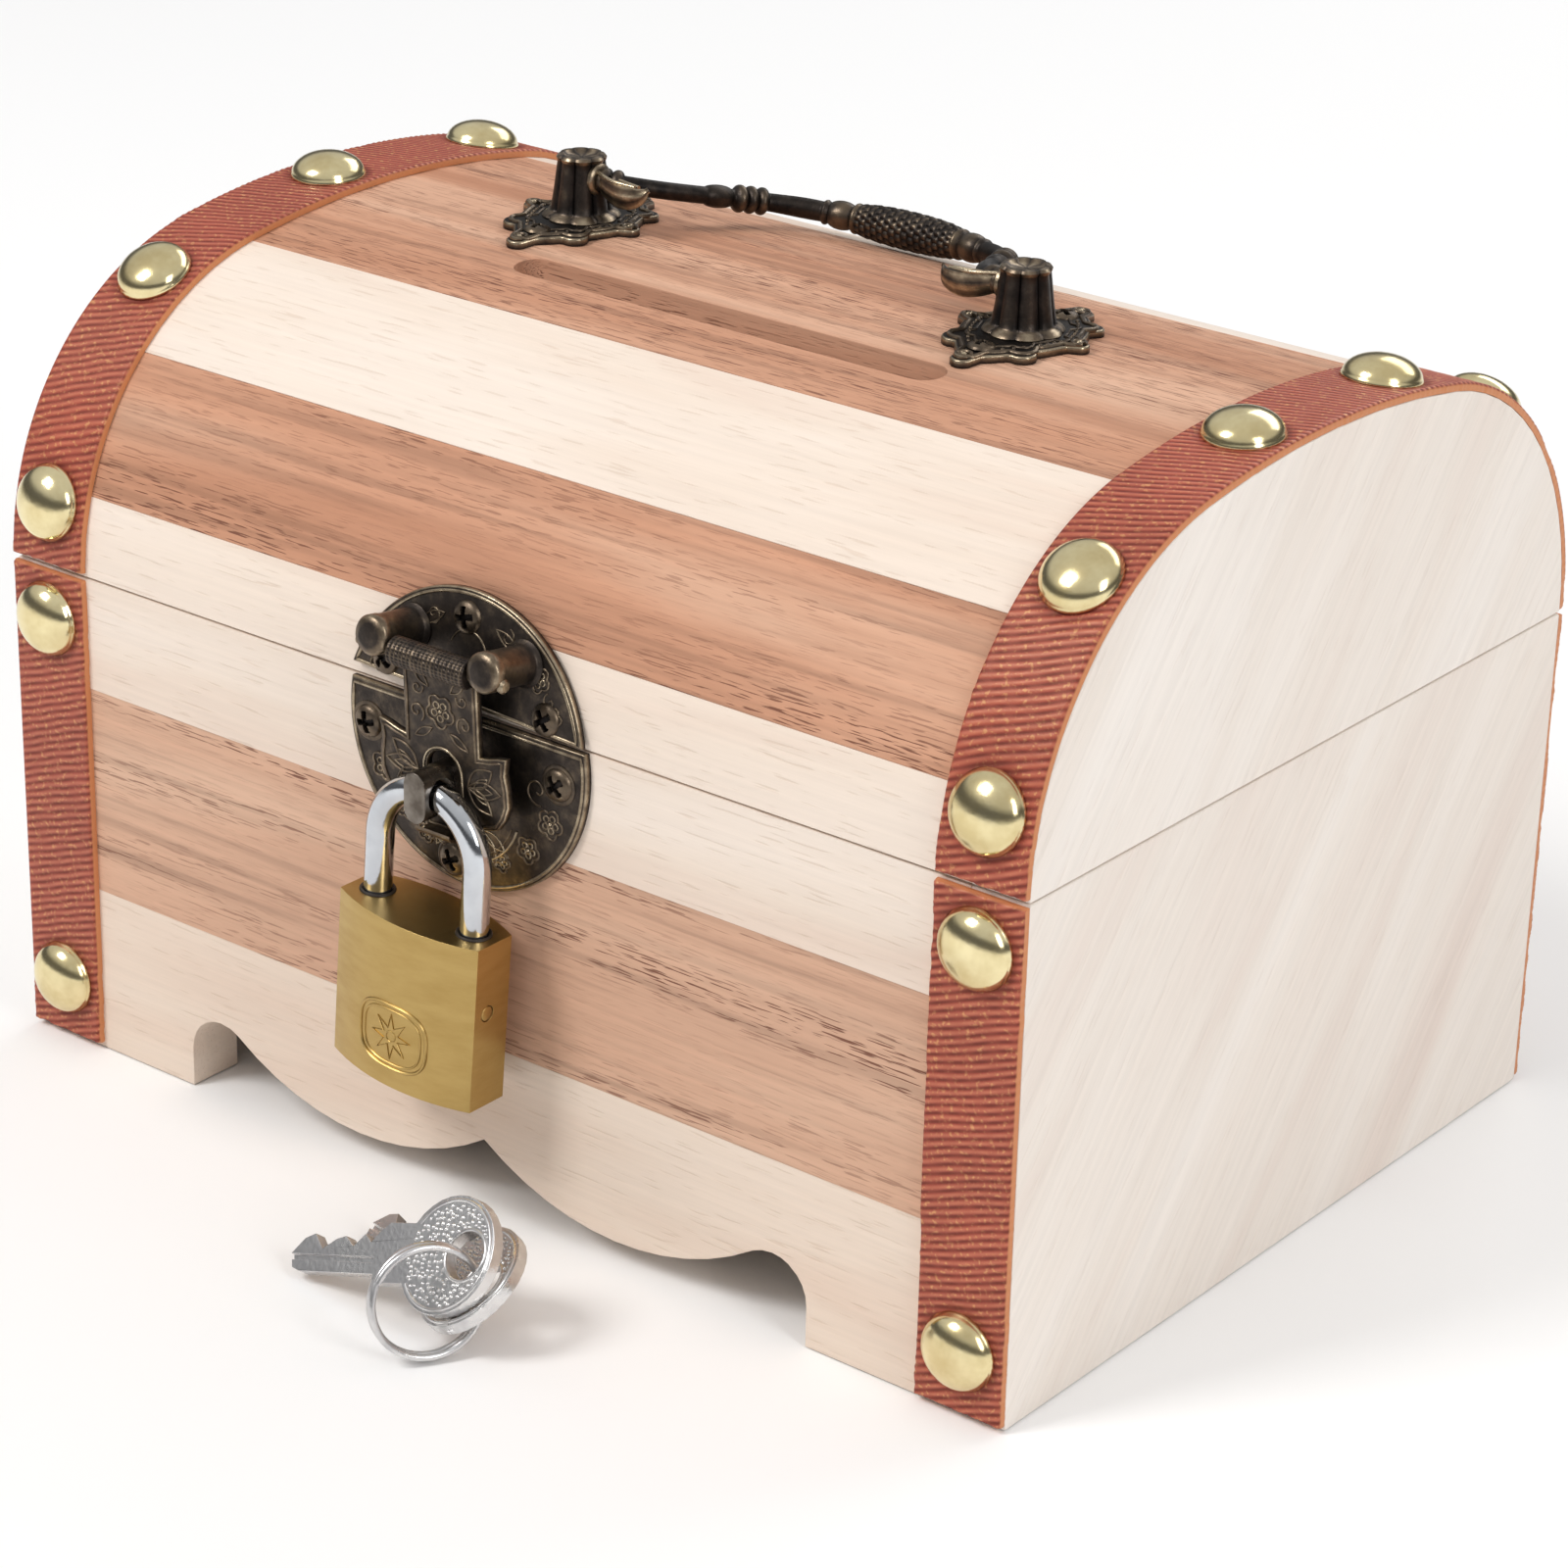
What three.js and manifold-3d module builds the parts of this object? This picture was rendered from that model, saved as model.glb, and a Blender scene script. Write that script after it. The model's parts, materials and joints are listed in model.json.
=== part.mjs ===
// A wooden money box: a strapped treasure chest with a barrel lid, a coin slot, a carrying handle,
// a hasp with a padlock, and two keys on a ring. Millimetres, +Z up, the front faces -Y.
import * as THREE from "three";
import { mergeVertices } from "three/addons/utils/BufferGeometryUtils.js";
import Module from "manifold-3d";

const wasm = await Module();
wasm.setup();

// Box
const boxWidth = 180;
const boxDepth = 130;
const board = 9;
const splitHeight = 75;
const lidGap = 0.3;
const bottomThickness = 5;
const bottomHeight = 14;
const stripeHeights = [0, 26, 58, splitHeight];

// Lid arch: a small radius at the front and rear, a large radius over the crown
const sideRadius = 43;
const crownRadius = 165;
const staveArcs = [lidGap, 12.2, 34.4];

// Scalloped skirt
const footInner = 57.2;
const footArchRadius = 6;
const cuspX = 47.8;
const cuspZ = 11;
const lobeDip = 7.4;

// Coin slot
const slotLength = 75;
const slotWidth = 6;
const slotX = 0.8;
const slotY = -16;

// Straps and nails
const strapWidth = 14;
const strapThickness = 1.3;
const nailRadius = 5.6;
const nailHeight = 3.4;
const nailX = boxWidth / 2 - strapWidth / 2;
const leftNailArcs = [9.7, 46.5, 83.2, 117.3];
const rightNailArcs = [10.3, 41.4, 77.8, 111.3];
const baseNailHeights = [9.8, 67.4];

// Handle
const handleX = -1.5;
const handleHalfSpan = 39.5;
const handleY = 2.5;
const handlePlateThickness = 1.3;
const handlePostHeight = 10.3;
const handlePivotHeight = 7;
const bailRadius = 1.6;
const bailDepth = 28;
const bailDrop = 13.2;
const gripRadius = 2.8;

// Hasp and its plates
const latchX = -2;
const plateRadius = 21.3;
const plateCentreZ = 71;
const plateThickness = 1.2;
const upperPlateLean = 8;
const upperChord = [77.2, 75.7];
const pinY = -72.5;
const pinZ = 84.5;
const pinRadius = 0.8;
const hingePostRadius = 2.7;
const hingePostSpacing = 19.9;
const barrelRadius = 2.1;
const flapThickness = 1;
const flapLean = 3;
const stapleWidth = 3.8;
const stapleHeight = 7.4;
const stapleZ = 66.1;
const stapleEndY = -76.3;
const shackleHoleRadius = 2.5;

// Padlock
const shackleY = -72.9;
const shackleZ = 65.9;
const shackleWire = 2;
const shackleBend = 8.8;
const padlockLean = 4;
const padlockTop = -17.9;
const padlockHeight = 25;
const padlockHalfWidth = 12.6;
const padlockFlat = 3.35;
const padlockBulge = 2.65;
const longLegDepth = 14;
const shortLegDepth = 6.5;
const legHoleRadius = 2.2;
const plugRadius = 3.7;
const plugHeight = 15;

// Keys
const keyHub = new THREE.Vector3(24, -93, 11);
const keySpacing = 2.4;
const keyTips = [new THREE.Vector3(-5.5, -80.5, 2.4), new THREE.Vector3(-8.5, -94, 2.7)];
const keyRolls = [37, 50];
const keyThickness = 1.8;
const bowRadius = 8.3;
const bowOffset = 3.4;
const keyHoleRadius = 3.3;
const keyReach = 33;
const ringRadius = 7.6;
const ringOutward = new THREE.Vector3(-0.45, -0.88, -0.39);
const ringAcross = new THREE.Vector3(-0.47, -0.62, 0.42);

// Rear hinges
const hingeX = 50;
const hingeWidth = 20;
const hingeAxisY = 66.9;
const knuckleRadius = 1.7;
const leafThickness = 0.9;
const leafHeight = 12;

const half = boxWidth / 2;
const front = -boxDepth / 2;
const rear = boxDepth / 2;
const lidBottom = splitHeight + lidGap;

// The arch is tangent to the box's front and rear, and the crown is tangent to both side arcs.
const sideCentreY = boxDepth / 2 - sideRadius;
const crownHalfTurn = Math.asin(sideCentreY / (crownRadius - sideRadius));
const crownCentreZ = splitHeight - (crownRadius - sideRadius) * Math.cos(crownHalfTurn);
const crownZ = crownCentreZ + crownRadius;
const sideLength = sideRadius * (Math.PI / 2 - crownHalfTurn);
const crownLength = crownRadius * crownHalfTurn * 2;
const archLength = 2 * sideLength + crownLength;

const finishes = {
  paleWood: { color: 0xeadbc8, roughness: 0.75, metalness: 0 },
  redWood: { color: 0xcf9a7c, roughness: 0.75, metalness: 0 },
  leather: { color: 0xa4503c, roughness: 0.6, metalness: 0 },
  brass: { color: 0xd9c47e, roughness: 0.22, metalness: 1 },
  bronze: { color: 0x4b4136, roughness: 0.45, metalness: 1 },
  satinBrass: { color: 0xb29650, roughness: 0.35, metalness: 1 },
  chrome: { color: 0xd4d6d8, roughness: 0.12, metalness: 1 },
  nickel: { color: 0xbcbcba, roughness: 0.3, metalness: 1 },
};

const model = new THREE.Group();

function addPart(name, geometry, finish, parent = model) {
  const mesh = new THREE.Mesh(geometry, new THREE.MeshStandardMaterial(finishes[finish]));
  mesh.name = name;
  parent.add(mesh);
  return mesh;
}

function solidOf(geometry) {
  const bare = geometry.clone();
  bare.deleteAttribute("normal");
  bare.deleteAttribute("uv");
  const merged = mergeVertices(bare, 1e-4);
  const corners = merged.index.array;
  const triangles = [];
  for (let i = 0; i < corners.length; i += 3) {
    const [a, b, c] = [corners[i], corners[i + 1], corners[i + 2]];
    if (a !== b && b !== c && c !== a) {
      triangles.push(a, b, c);
    }
  }
  const vertProperties = Float32Array.from(merged.attributes.position.array);
  const triVerts = Uint32Array.from(triangles);
  return new wasm.Manifold(new wasm.Mesh({ numProp: 3, vertProperties, triVerts }));
}

function geometryOf(solid) {
  const mesh = solid.getMesh();
  const geometry = new THREE.BufferGeometry();
  geometry.setAttribute("position", new THREE.BufferAttribute(mesh.vertProperties, 3));
  geometry.setIndex(new THREE.BufferAttribute(mesh.triVerts, 1));
  geometry.computeVertexNormals();
  return geometry;
}

function combine(added, removed = []) {
  let solid = solidOf(added[0]);
  for (const extra of added.slice(1)) {
    solid = solid.add(solidOf(extra));
  }
  for (const tool of removed) {
    solid = solid.subtract(solidOf(tool));
  }
  return geometryOf(solid);
}

function block(x0, x1, y0, y1, z0, z1) {
  const geometry = new THREE.BoxGeometry(x1 - x0, y1 - y0, z1 - z0);
  return geometry.translate((x0 + x1) / 2, (y0 + y1) / 2, (z0 + z1) / 2);
}

function rodAlongX(radius, x0, x1, y, z, sides = 24) {
  const geometry = new THREE.CylinderGeometry(radius, radius, x1 - x0, sides);
  return geometry.rotateZ(Math.PI / 2).translate((x0 + x1) / 2, y, z);
}

function rodAlongY(radius, y0, y1, x, z, sides = 24) {
  const geometry = new THREE.CylinderGeometry(radius, radius, y1 - y0, sides);
  return geometry.translate(x, (y0 + y1) / 2, z);
}

function rodAlongZ(radius, z0, z1, x, y, sides = 24) {
  const geometry = new THREE.CylinderGeometry(radius, radius, z1 - z0, sides);
  return geometry.rotateX(Math.PI / 2).translate(x, y, (z0 + z1) / 2);
}

function extrude(shape, depth) {
  return new THREE.ExtrudeGeometry(shape, { depth, bevelEnabled: false, curveSegments: 8 });
}

// An outline in (y, z), run along X from x0 to x1
function alongX(shape, x0, x1) {
  const turn = new THREE.Matrix4().makeBasis(
    new THREE.Vector3(0, 1, 0),
    new THREE.Vector3(0, 0, 1),
    new THREE.Vector3(1, 0, 0),
  );
  return extrude(shape, x1 - x0).applyMatrix4(turn).translate(x0, 0, 0);
}

// An outline in (x, z), run forward along -Y from its back face
function forward(shape, backY, depth) {
  return extrude(shape, depth).rotateX(Math.PI / 2).translate(0, backY, 0);
}

function outline(points) {
  return new THREE.Shape(points.map(([a, b]) => new THREE.Vector2(a, b)));
}

function arcPoints(x, y, radius, from, to, steps) {
  const points = [];
  for (let i = 0; i <= steps; i += 1) {
    const turn = THREE.MathUtils.degToRad(from + ((to - from) * i) / steps);
    points.push([x + radius * Math.cos(turn), y + radius * Math.sin(turn)]);
  }
  return points;
}

// The point on the arch at a distance along it from the front springing, and its outward turn
function archPoint(arc, offset = 0) {
  if (arc > archLength / 2) {
    const mirrored = archPoint(archLength - arc, offset);
    return { y: -mirrored.y, z: mirrored.z, turn: -mirrored.turn };
  }
  if (arc < sideLength) {
    const rise = arc / sideRadius;
    const reach = sideRadius + offset;
    const y = -sideCentreY - reach * Math.cos(rise);
    return { y, z: splitHeight + reach * Math.sin(rise), turn: Math.PI / 2 - rise };
  }
  const swing = crownHalfTurn - (arc - sideLength) / crownRadius;
  const reach = crownRadius + offset;
  return { y: -reach * Math.sin(swing), z: crownCentreZ + reach * Math.cos(swing), turn: swing };
}

// The seams between the staves, and the shared facets of everything that follows the arch
const halfSeams = [...staveArcs, sideLength];
const seams = [...halfSeams, ...halfSeams.map((arc) => archLength - arc).reverse()];
const stations = seams.flatMap((seam, i) => {
  const next = i + 1 < seams.length ? seams[i + 1] : seam;
  const steps = Math.max(1, Math.round((next - seam) / (i === 3 ? 10 : 4.3)));
  return Array.from({ length: steps }, (_, k) => seam + ((next - seam) * k) / steps);
});

function archLine(from, to, offset) {
  const between = stations.filter((arc) => arc > from + 0.01 && arc < to - 0.01);
  return [from, ...between, to].map((arc) => {
    const { y, z } = archPoint(arc, offset);
    return [y, z];
  });
}

function archBand(from, to, inner, outer) {
  return outline([...archLine(from, to, inner), ...archLine(from, to, outer).reverse()]);
}

function addBase() {
  const side = half - board;
  const names = ["skirt", "middle_strip", "upper_strip"];
  const woods = ["paleWood", "redWood", "paleWood"];
  for (const [place, backY] of [["front", front + board], ["rear", rear]]) {
    addPart(`base_${place}_skirt`, forward(skirtOutline(side), backY, board), woods[0]);
    for (const row of [1, 2]) {
      const strip = block(-side, side, backY - board, backY, stripeHeights[row], stripeHeights[row + 1]);
      addPart(`base_${place}_${names[row]}`, strip, woods[row]);
    }
  }
  addPart("base_end_left", block(-half, -side, front, rear, 0, splitHeight), "paleWood");
  addPart("base_end_right", block(side, half, front, rear, 0, splitHeight), "paleWood");
  const inside = rear - board;
  const top = bottomHeight + bottomThickness;
  addPart("base_bottom", block(-side, side, -inside, inside, bottomHeight, top), "paleWood");
}

// The lower edge: two feet, a round arch beside each, and two lobes that meet in a cusp
function skirtOutline(side) {
  const archX = footInner - footArchRadius;
  const lobeRadius = (cuspX * cuspX) / 4 / 2 / lobeDip + lobeDip / 2;
  const lobeTurn = THREE.MathUtils.radToDeg(Math.asin(cuspX / 2 / lobeRadius));
  const lobeZ = cuspZ - lobeDip + lobeRadius;
  const right = [
    ...arcPoints(cuspX / 2, lobeZ, lobeRadius, 270 - lobeTurn, 270 + lobeTurn, 12),
    ...arcPoints(archX, footArchRadius, footArchRadius, 120, 0, 8),
    [footInner, 0],
    [side, 0],
    [side, stripeHeights[1]],
  ];
  const left = right.slice(1).map(([x, z]) => [-x, z]);
  return outline([...right, ...left.reverse()]);
}

function addLid() {
  const side = half - board;
  for (let i = 0; i + 1 < seams.length; i += 1) {
    const stave = alongX(archBand(seams[i], seams[i + 1], -board, 0), -side, side);
    const geometry = i === 3 ? combine([stave], [slotCutter()]) : stave;
    addPart(`lid_stave_${i + 1}`, geometry, i % 2 === 0 ? "paleWood" : "redWood");
  }
  const end = outline(archLine(lidGap, archLength - lidGap, 0).reverse());
  addPart("lid_end_left", alongX(end, -half, -side), "paleWood");
  addPart("lid_end_right", alongX(end, side, half), "paleWood");
}

function slotCutter() {
  const reach = slotLength / 2 - slotWidth / 2;
  const right = arcPoints(slotX + reach, slotY, slotWidth / 2, -90, 90, 8);
  const left = arcPoints(slotX - reach, slotY, slotWidth / 2, 90, 270, 8);
  return extrude(outline([...right, ...left]), 4 * board).translate(0, 0, crownZ - 3 * board);
}

function nailDome() {
  const profile = [new THREE.Vector2(0, 0), new THREE.Vector2(nailRadius, 0)];
  for (let i = 1; i <= 5; i += 1) {
    const rise = (i * Math.PI) / 10;
    const radius = i === 5 ? 0 : nailRadius * Math.cos(rise);
    profile.push(new THREE.Vector2(radius, 0.4 + (nailHeight - 0.4) * Math.sin(rise)));
  }
  return new THREE.LatheGeometry(profile, 20).rotateX(Math.PI / 2);
}

function addNail(name, x, arc, z = 0) {
  const onBase = arc === null;
  const place = onBase ? { y: front - strapThickness, z, turn: Math.PI / 2 } : archPoint(arc, strapThickness);
  const nail = addPart(name, nailDome(), "brass");
  nail.position.set(x, place.y, place.z);
  nail.rotation.x = place.turn;
}

function addStraps() {
  const inner = half - strapWidth;
  for (const [sideName, sign, arcs] of [["left", -1, leftNailArcs], ["right", 1, rightNailArcs]]) {
    const [x0, x1] = sign > 0 ? [inner, half] : [-half, -inner];
    const band = archBand(2 * lidGap, archLength - 2 * lidGap, 0, strapThickness);
    addPart(`lid_strap_${sideName}`, alongX(band, x0, x1), "leather");
    const bottom = 0.5;
    const top = splitHeight - lidGap;
    const frontStrap = block(x0, x1, front - strapThickness, front, bottom, top);
    const rearStrap = block(x0, x1, rear, rear + strapThickness, bottom, top);
    addPart(`base_strap_front_${sideName}`, frontStrap, "leather");
    addPart(`base_strap_rear_${sideName}`, rearStrap, "leather");
    arcs.forEach((arc, i) => addNail(`lid_nail_${sideName}_${i + 1}`, sign * nailX, arc));
    baseNailHeights.forEach((z, i) => addNail(`base_nail_${sideName}_${i + 1}`, sign * nailX, null, z));
  }
}

// A lozenge with a lobe at each corner and a scrolled edge between them
function handlePlateOutline() {
  const corner = [
    [10.4, 0], [10, 1.7], [8.2, 2.4], [7.6, 4.8], [5.9, 5.6], [5.2, 8.6], [3.4, 9.4], [3, 12.2], [2.3, 14.4],
    [0, 15.4],
  ];
  const quarter = (sx, sy) => corner.map(([x, y]) => [sx * x, sy * y]);
  const upper = [...quarter(1, 1), ...quarter(-1, 1).reverse().slice(1)];
  const lower = [...quarter(-1, -1).slice(1), ...quarter(1, -1).reverse().slice(1, -1)];
  return outline([...upper, ...lower]);
}

function addHandle() {
  const floor = crownZ + 0.05;
  const pivotZ = floor + handlePivotHeight;
  for (const [sideName, sign] of [["left", -1], ["right", 1]]) {
    const x = handleX + sign * handleHalfSpan;
    const plate = extrude(handlePlateOutline(), handlePlateThickness);
    const profile = [
      [0, 0.4], [5, 0.4], [5, handlePlateThickness + 0.3], [4.5, 2.2], [3.9, 6],
      [3.3, handlePostHeight - 0.5], [2.9, handlePostHeight], [0, handlePostHeight],
    ].map(([r, z]) => new THREE.Vector2(r, z));
    const post = new THREE.LatheGeometry(profile, 24).rotateX(Math.PI / 2);
    const [x0, x1] = sign > 0 ? [-6, 0.4] : [-0.4, 6];
    const socket = rodAlongX(bailRadius + 0.35, x0, x1, 0, handlePivotHeight);
    const geometry = combine([plate, post], [socket]).translate(x, handleY, floor);
    addPart(`handle_post_${sideName}`, geometry, "bronze");
  }
  const bail = addPart("handle_bail", bailGeometry(), "bronze");
  bail.position.set(handleX, handleY, pivotZ);
  bail.rotation.x = -THREE.MathUtils.degToRad(bailDrop);
}

// The bail lies in its own XY plane, with its pivots on the X axis and its grip at +Y.
function bailGeometry() {
  const rightHalf = [
    [0, bailDepth], [8, 27.6], [15.5, 25.6], [21, 21.6], [24.2, 16], [26.4, 10], [29, 4.8], [32, 1.1],
    [34.6, 0.08], [36.2, 0], [39.4, 0],
  ];
  const leftHalf = rightHalf.slice(1).map(([x, y]) => [-x, y]);
  const points = [...leftHalf.reverse(), ...rightHalf].map(([x, y]) => new THREE.Vector3(x, y, 0));
  const path = new THREE.CatmullRomCurve3(points);
  const section = outline(arcPoints(0, 0, bailRadius, 0, 324, 9));
  const wire = new THREE.ExtrudeGeometry(section, { steps: 48, extrudePath: path, bevelEnabled: false });
  const grip = new THREE.SphereGeometry(1, 16, 10).scale(10, gripRadius, gripRadius);
  grip.translate(0, bailDepth - 0.3, 0);
  const leaves = [-1, 1].map((sign) => {
    return new THREE.SphereGeometry(1, 14, 8).scale(4, 3.2, 1.1).translate(sign * 30.7, -1, 0.4);
  });
  return combine([wire, grip, ...leaves]);
}

function addLatch() {
  const disc = arcPoints(latchX, plateCentreZ, plateRadius, 0, 352.5, 47);
  const discSolid = (backY) => forward(outline(disc), backY, plateThickness);
  const wide = 2 * plateRadius;

  const below = block(latchX - wide, latchX + wide, front - 9, front + 9, plateCentreZ - wide, splitHeight);
  const lower = solidOf(discSolid(front)).intersect(solidOf(below));
  addPart("latch_lower_plate", geometryOf(lower), "bronze");
  addPart("latch_staple", stapleGeometry(), "bronze");

  // The upper plate leans back to lie against the curve of the lid, touching it along one line.
  const lean = THREE.MathUtils.degToRad(upperPlateLean);
  const touchY = -sideCentreY - sideRadius * Math.cos(lean);
  const touchZ = splitHeight + sideRadius * Math.sin(lean);
  const upperGroup = new THREE.Group();
  upperGroup.position.set(0, touchY, touchZ);
  upperGroup.rotation.x = -lean;
  model.add(upperGroup);
  const chord = outline([
    [latchX - plateRadius, upperChord[0] - touchZ], [latchX + plateRadius, upperChord[1] - touchZ],
    [latchX + wide, wide], [latchX - wide, wide],
  ]);
  const back = -0.3;
  const plate = discSolid(back).translate(0, 0, -touchZ);
  const localPinY = (pinY - touchY) * Math.cos(lean) - (pinZ - touchZ) * Math.sin(lean);
  const localPinZ = (pinY - touchY) * Math.sin(lean) + (pinZ - touchZ) * Math.cos(lean);
  let upper = solidOf(plate).intersect(solidOf(forward(chord, back + 5, 15)));
  for (const sign of [-1, 1]) {
    const x = latchX + (sign * hingePostSpacing) / 2;
    const post = rodAlongY(hingePostRadius, localPinY - 2.8, back - 0.5, x, localPinZ);
    upper = upper.add(solidOf(post));
  }
  const pinHole = rodAlongX(pinRadius + 0.1, latchX - 20, latchX + 20, localPinY, localPinZ);
  addPart("latch_upper_plate", geometryOf(upper.subtract(solidOf(pinHole))), "bronze", upperGroup);

  const pinReach = hingePostSpacing / 2 + hingePostRadius + 0.3;
  addPart("latch_pin", rodAlongX(pinRadius, latchX - pinReach, latchX + pinReach, pinY, pinZ), "bronze");
  addPart("hasp_flap", flapGeometry(), "bronze").position.set(latchX, pinY, pinZ);
}

function stapleGeometry() {
  const reach = stapleHeight / 2 - stapleWidth / 2;
  const section = outline([
    ...arcPoints(latchX, stapleZ + reach, stapleWidth / 2, 0, 180, 8),
    ...arcPoints(latchX, stapleZ - reach, stapleWidth / 2, 180, 360, 8),
  ]);
  const backY = front - plateThickness;
  const post = forward(section, backY, backY - stapleEndY);
  const hole = rodAlongX(shackleHoleRadius, latchX - 5, latchX + 5, shackleY, shackleZ);
  return combine([post], [hole]);
}

// The flap hangs from the pin: a plate with butterfly wings, an arched opening for the staple
// and a lip for the finger, all measured from the pin.
function flapGeometry() {
  const right = [
    [3.2, -25.4], [6, -23.4], [9.4, -22.6], [11.6, -18.8], [11.5, -11.4], [6.6, -12.8], [6.6, 0],
  ];
  const left = right.map(([x, z]) => [-x, z]).reverse();
  const plate = forward(outline([...right, ...left]), barrelRadius, flapThickness);
  const barrel = rodAlongX(barrelRadius, -6.9, 6.9, 0, 0);
  const lip = block(-3.1, 3.1, barrelRadius - 3.4, barrelRadius, -25.4, -24.4);
  const bore = rodAlongX(pinRadius + 0.12, -9, 9, 0, 0);
  const window = [[2.95, -23.4], ...arcPoints(0, -16.35, 2.95, 0, 180, 8), [-2.95, -23.4]];
  const opening = forward(outline(window), 9, 18);
  return combine([plate, barrel, lip], [bore, opening]).rotateX(THREE.MathUtils.degToRad(flapLean));
}

// The padlock's own frame has its origin in the staple's hole, at the middle of the shackle's bend.
function addPadlock() {
  const padlock = new THREE.Group();
  padlock.position.set(latchX, shackleY, shackleZ);
  padlock.rotation.y = THREE.MathUtils.degToRad(padlockLean);
  model.add(padlock);
  addPart("padlock_shackle", shackleGeometry(), "chrome", padlock);

  const bottom = padlockTop - padlockHeight;
  const arcRadius = (padlockHalfWidth ** 2 + padlockBulge ** 2) / 2 / padlockBulge;
  const arcTurn = THREE.MathUtils.radToDeg(Math.asin(padlockHalfWidth / arcRadius));
  const arcY = arcRadius - padlockFlat - padlockBulge;
  const lens = outline([
    ...arcPoints(0, arcY, arcRadius, 270 - arcTurn, 270 + arcTurn, 14),
    ...arcPoints(0, -arcY, arcRadius, 90 - arcTurn, 90 + arcTurn, 14),
  ]);
  const lensBody = extrude(lens, padlockHeight).translate(0, 0, bottom);
  const boltZ = padlockTop - 5.2;
  const sidePinZ = padlockTop - 10.5;
  const holes = [
    rodAlongZ(legHoleRadius, padlockTop - longLegDepth - 2, padlockTop + 1, -shackleBend, 0),
    rodAlongZ(legHoleRadius, padlockTop - shortLegDepth - 1.5, padlockTop + 1, shackleBend, 0),
    rodAlongX(1.8, -shackleBend, shackleBend, 0, boltZ, 16),
    rodAlongZ(plugRadius + 0.15, bottom - 1, bottom + plugHeight + 0.3, 0, 0),
    rodAlongX(1.2, padlockHalfWidth - 3.3, padlockHalfWidth + 1, -0.8, sidePinZ, 16),
  ];
  addPart("padlock_body", combine([lensBody], holes), "satinBrass", padlock);
  addPart("padlock_bolt", rodAlongX(1.6, -5.8, 5.8, 0, boltZ, 16), "satinBrass", padlock);
  const sidePin = rodAlongX(1.1, padlockHalfWidth - 3, padlockHalfWidth, -0.8, sidePinZ, 16);
  addPart("padlock_side_pin", sidePin, "satinBrass", padlock);
  const plug = rodAlongZ(plugRadius, bottom, bottom + plugHeight, 0, 0);
  const keyway = block(-0.75, 0.75, -2.9, 2.9, bottom - 1, bottom + 11);
  addPart("padlock_plug", combine([plug], [keyway]), "satinBrass", padlock);
}

function shackleGeometry() {
  const points = [];
  const bendZ = -shackleBend;
  for (const [x, z] of arcPoints(0, bendZ, shackleBend, 180, 0, 12)) {
    points.push(new THREE.Vector3(x, 0, z));
  }
  const section = outline(arcPoints(0, 0, shackleWire, 0, 330, 11));
  const arch = new THREE.CatmullRomCurve3(points, false, "catmullrom", 0.5);
  const bow = new THREE.ExtrudeGeometry(section, { steps: 20, extrudePath: arch, bevelEnabled: false });
  const longLeg = rodAlongZ(shackleWire, padlockTop - longLegDepth, bendZ + 0.2, -shackleBend, 0, 12);
  const shortLeg = rodAlongZ(shackleWire, padlockTop - shortLegDepth, bendZ + 0.2, shackleBend, 0, 12);
  const notchZ = padlockTop - 5.2;
  const notch = block(shackleBend - 3, shackleBend - 1.1, -3, 3, notchZ - 1.9, notchZ + 1.9);
  return combine([bow, longLeg, shortLeg], [notch]);
}

// A key in its own frame: the hole for the ring at the origin, the blade towards -X.
function keyGeometry() {
  const neck = THREE.MathUtils.radToDeg(Math.asin(4.2 / bowRadius));
  const bow = arcPoints(-bowOffset, 0, bowRadius, 180 + neck, 540 - neck, 26);
  const blade = [
    [-15.2, 4.2], [-16.6, 3.2], [-18.2, 1.4], [-19.6, 2.5], [-21.4, 0.7], [-23.2, 2.1], [-25, 1.6],
    [-27.2, 0.2], [-29.2, 2.3], [-31, 1.6], [-keyReach, -0.6], [-keyReach + 0.8, -2.6], [-keyReach + 2.4, -3.1],
    [-16.4, -3.1], [-16.4, -4.2],
  ];
  const body = extrude(outline([...bow, ...blade]), keyThickness).translate(0, 0, -keyThickness / 2);
  const hole = rodAlongZ(keyHoleRadius, -keyThickness, keyThickness, 0, 0, 20);
  const groove = block(-keyReach - 1, -17, -1.5, -0.7, keyThickness / 2 - 0.5, keyThickness);
  return combine([body], [hole, groove]);
}

// Each key leans on its tip and hangs by its bow from the ring, which stands on the ground.
function addKeys() {
  const outward = ringOutward.clone().normalize();
  const across = ringAcross.clone().addScaledVector(outward, -ringAcross.dot(outward)).normalize();
  const axis = new THREE.Vector3().crossVectors(outward, across);
  keyTips.forEach((tip, i) => {
    const hole = keyHub.clone().addScaledVector(across, i === 0 ? -keySpacing : keySpacing);
    const roll = THREE.MathUtils.degToRad(keyRolls[i]);
    const along = hole.clone().sub(tip).normalize();
    const level = new THREE.Vector3(-along.y, along.x, 0).normalize();
    const upright = new THREE.Vector3().crossVectors(along, level);
    const side = level.applyAxisAngle(along, roll);
    const face = upright.applyAxisAngle(along, roll);
    const key = addPart(`key_${i + 1}`, keyGeometry(), "nickel");
    key.applyMatrix4(new THREE.Matrix4().makeBasis(along, side, face).setPosition(hole));
  });
  const wire = [
    [-0.5, -0.7], [-0.2, -1], [0.2, -1], [0.5, -0.7], [0.5, 0.7], [0.2, 1], [-0.2, 1], [-0.5, 0.7],
    [-0.5, -0.7],
  ];
  const section = wire.map(([radial, high]) => new THREE.Vector2(ringRadius + radial, high));
  const ring = addPart("key_ring", new THREE.LatheGeometry(section, 32).rotateX(Math.PI / 2), "nickel");
  const centre = keyHub.clone().addScaledVector(outward, ringRadius);
  ring.applyMatrix4(new THREE.Matrix4().makeBasis(outward, across, axis).setPosition(centre));
}

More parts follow.
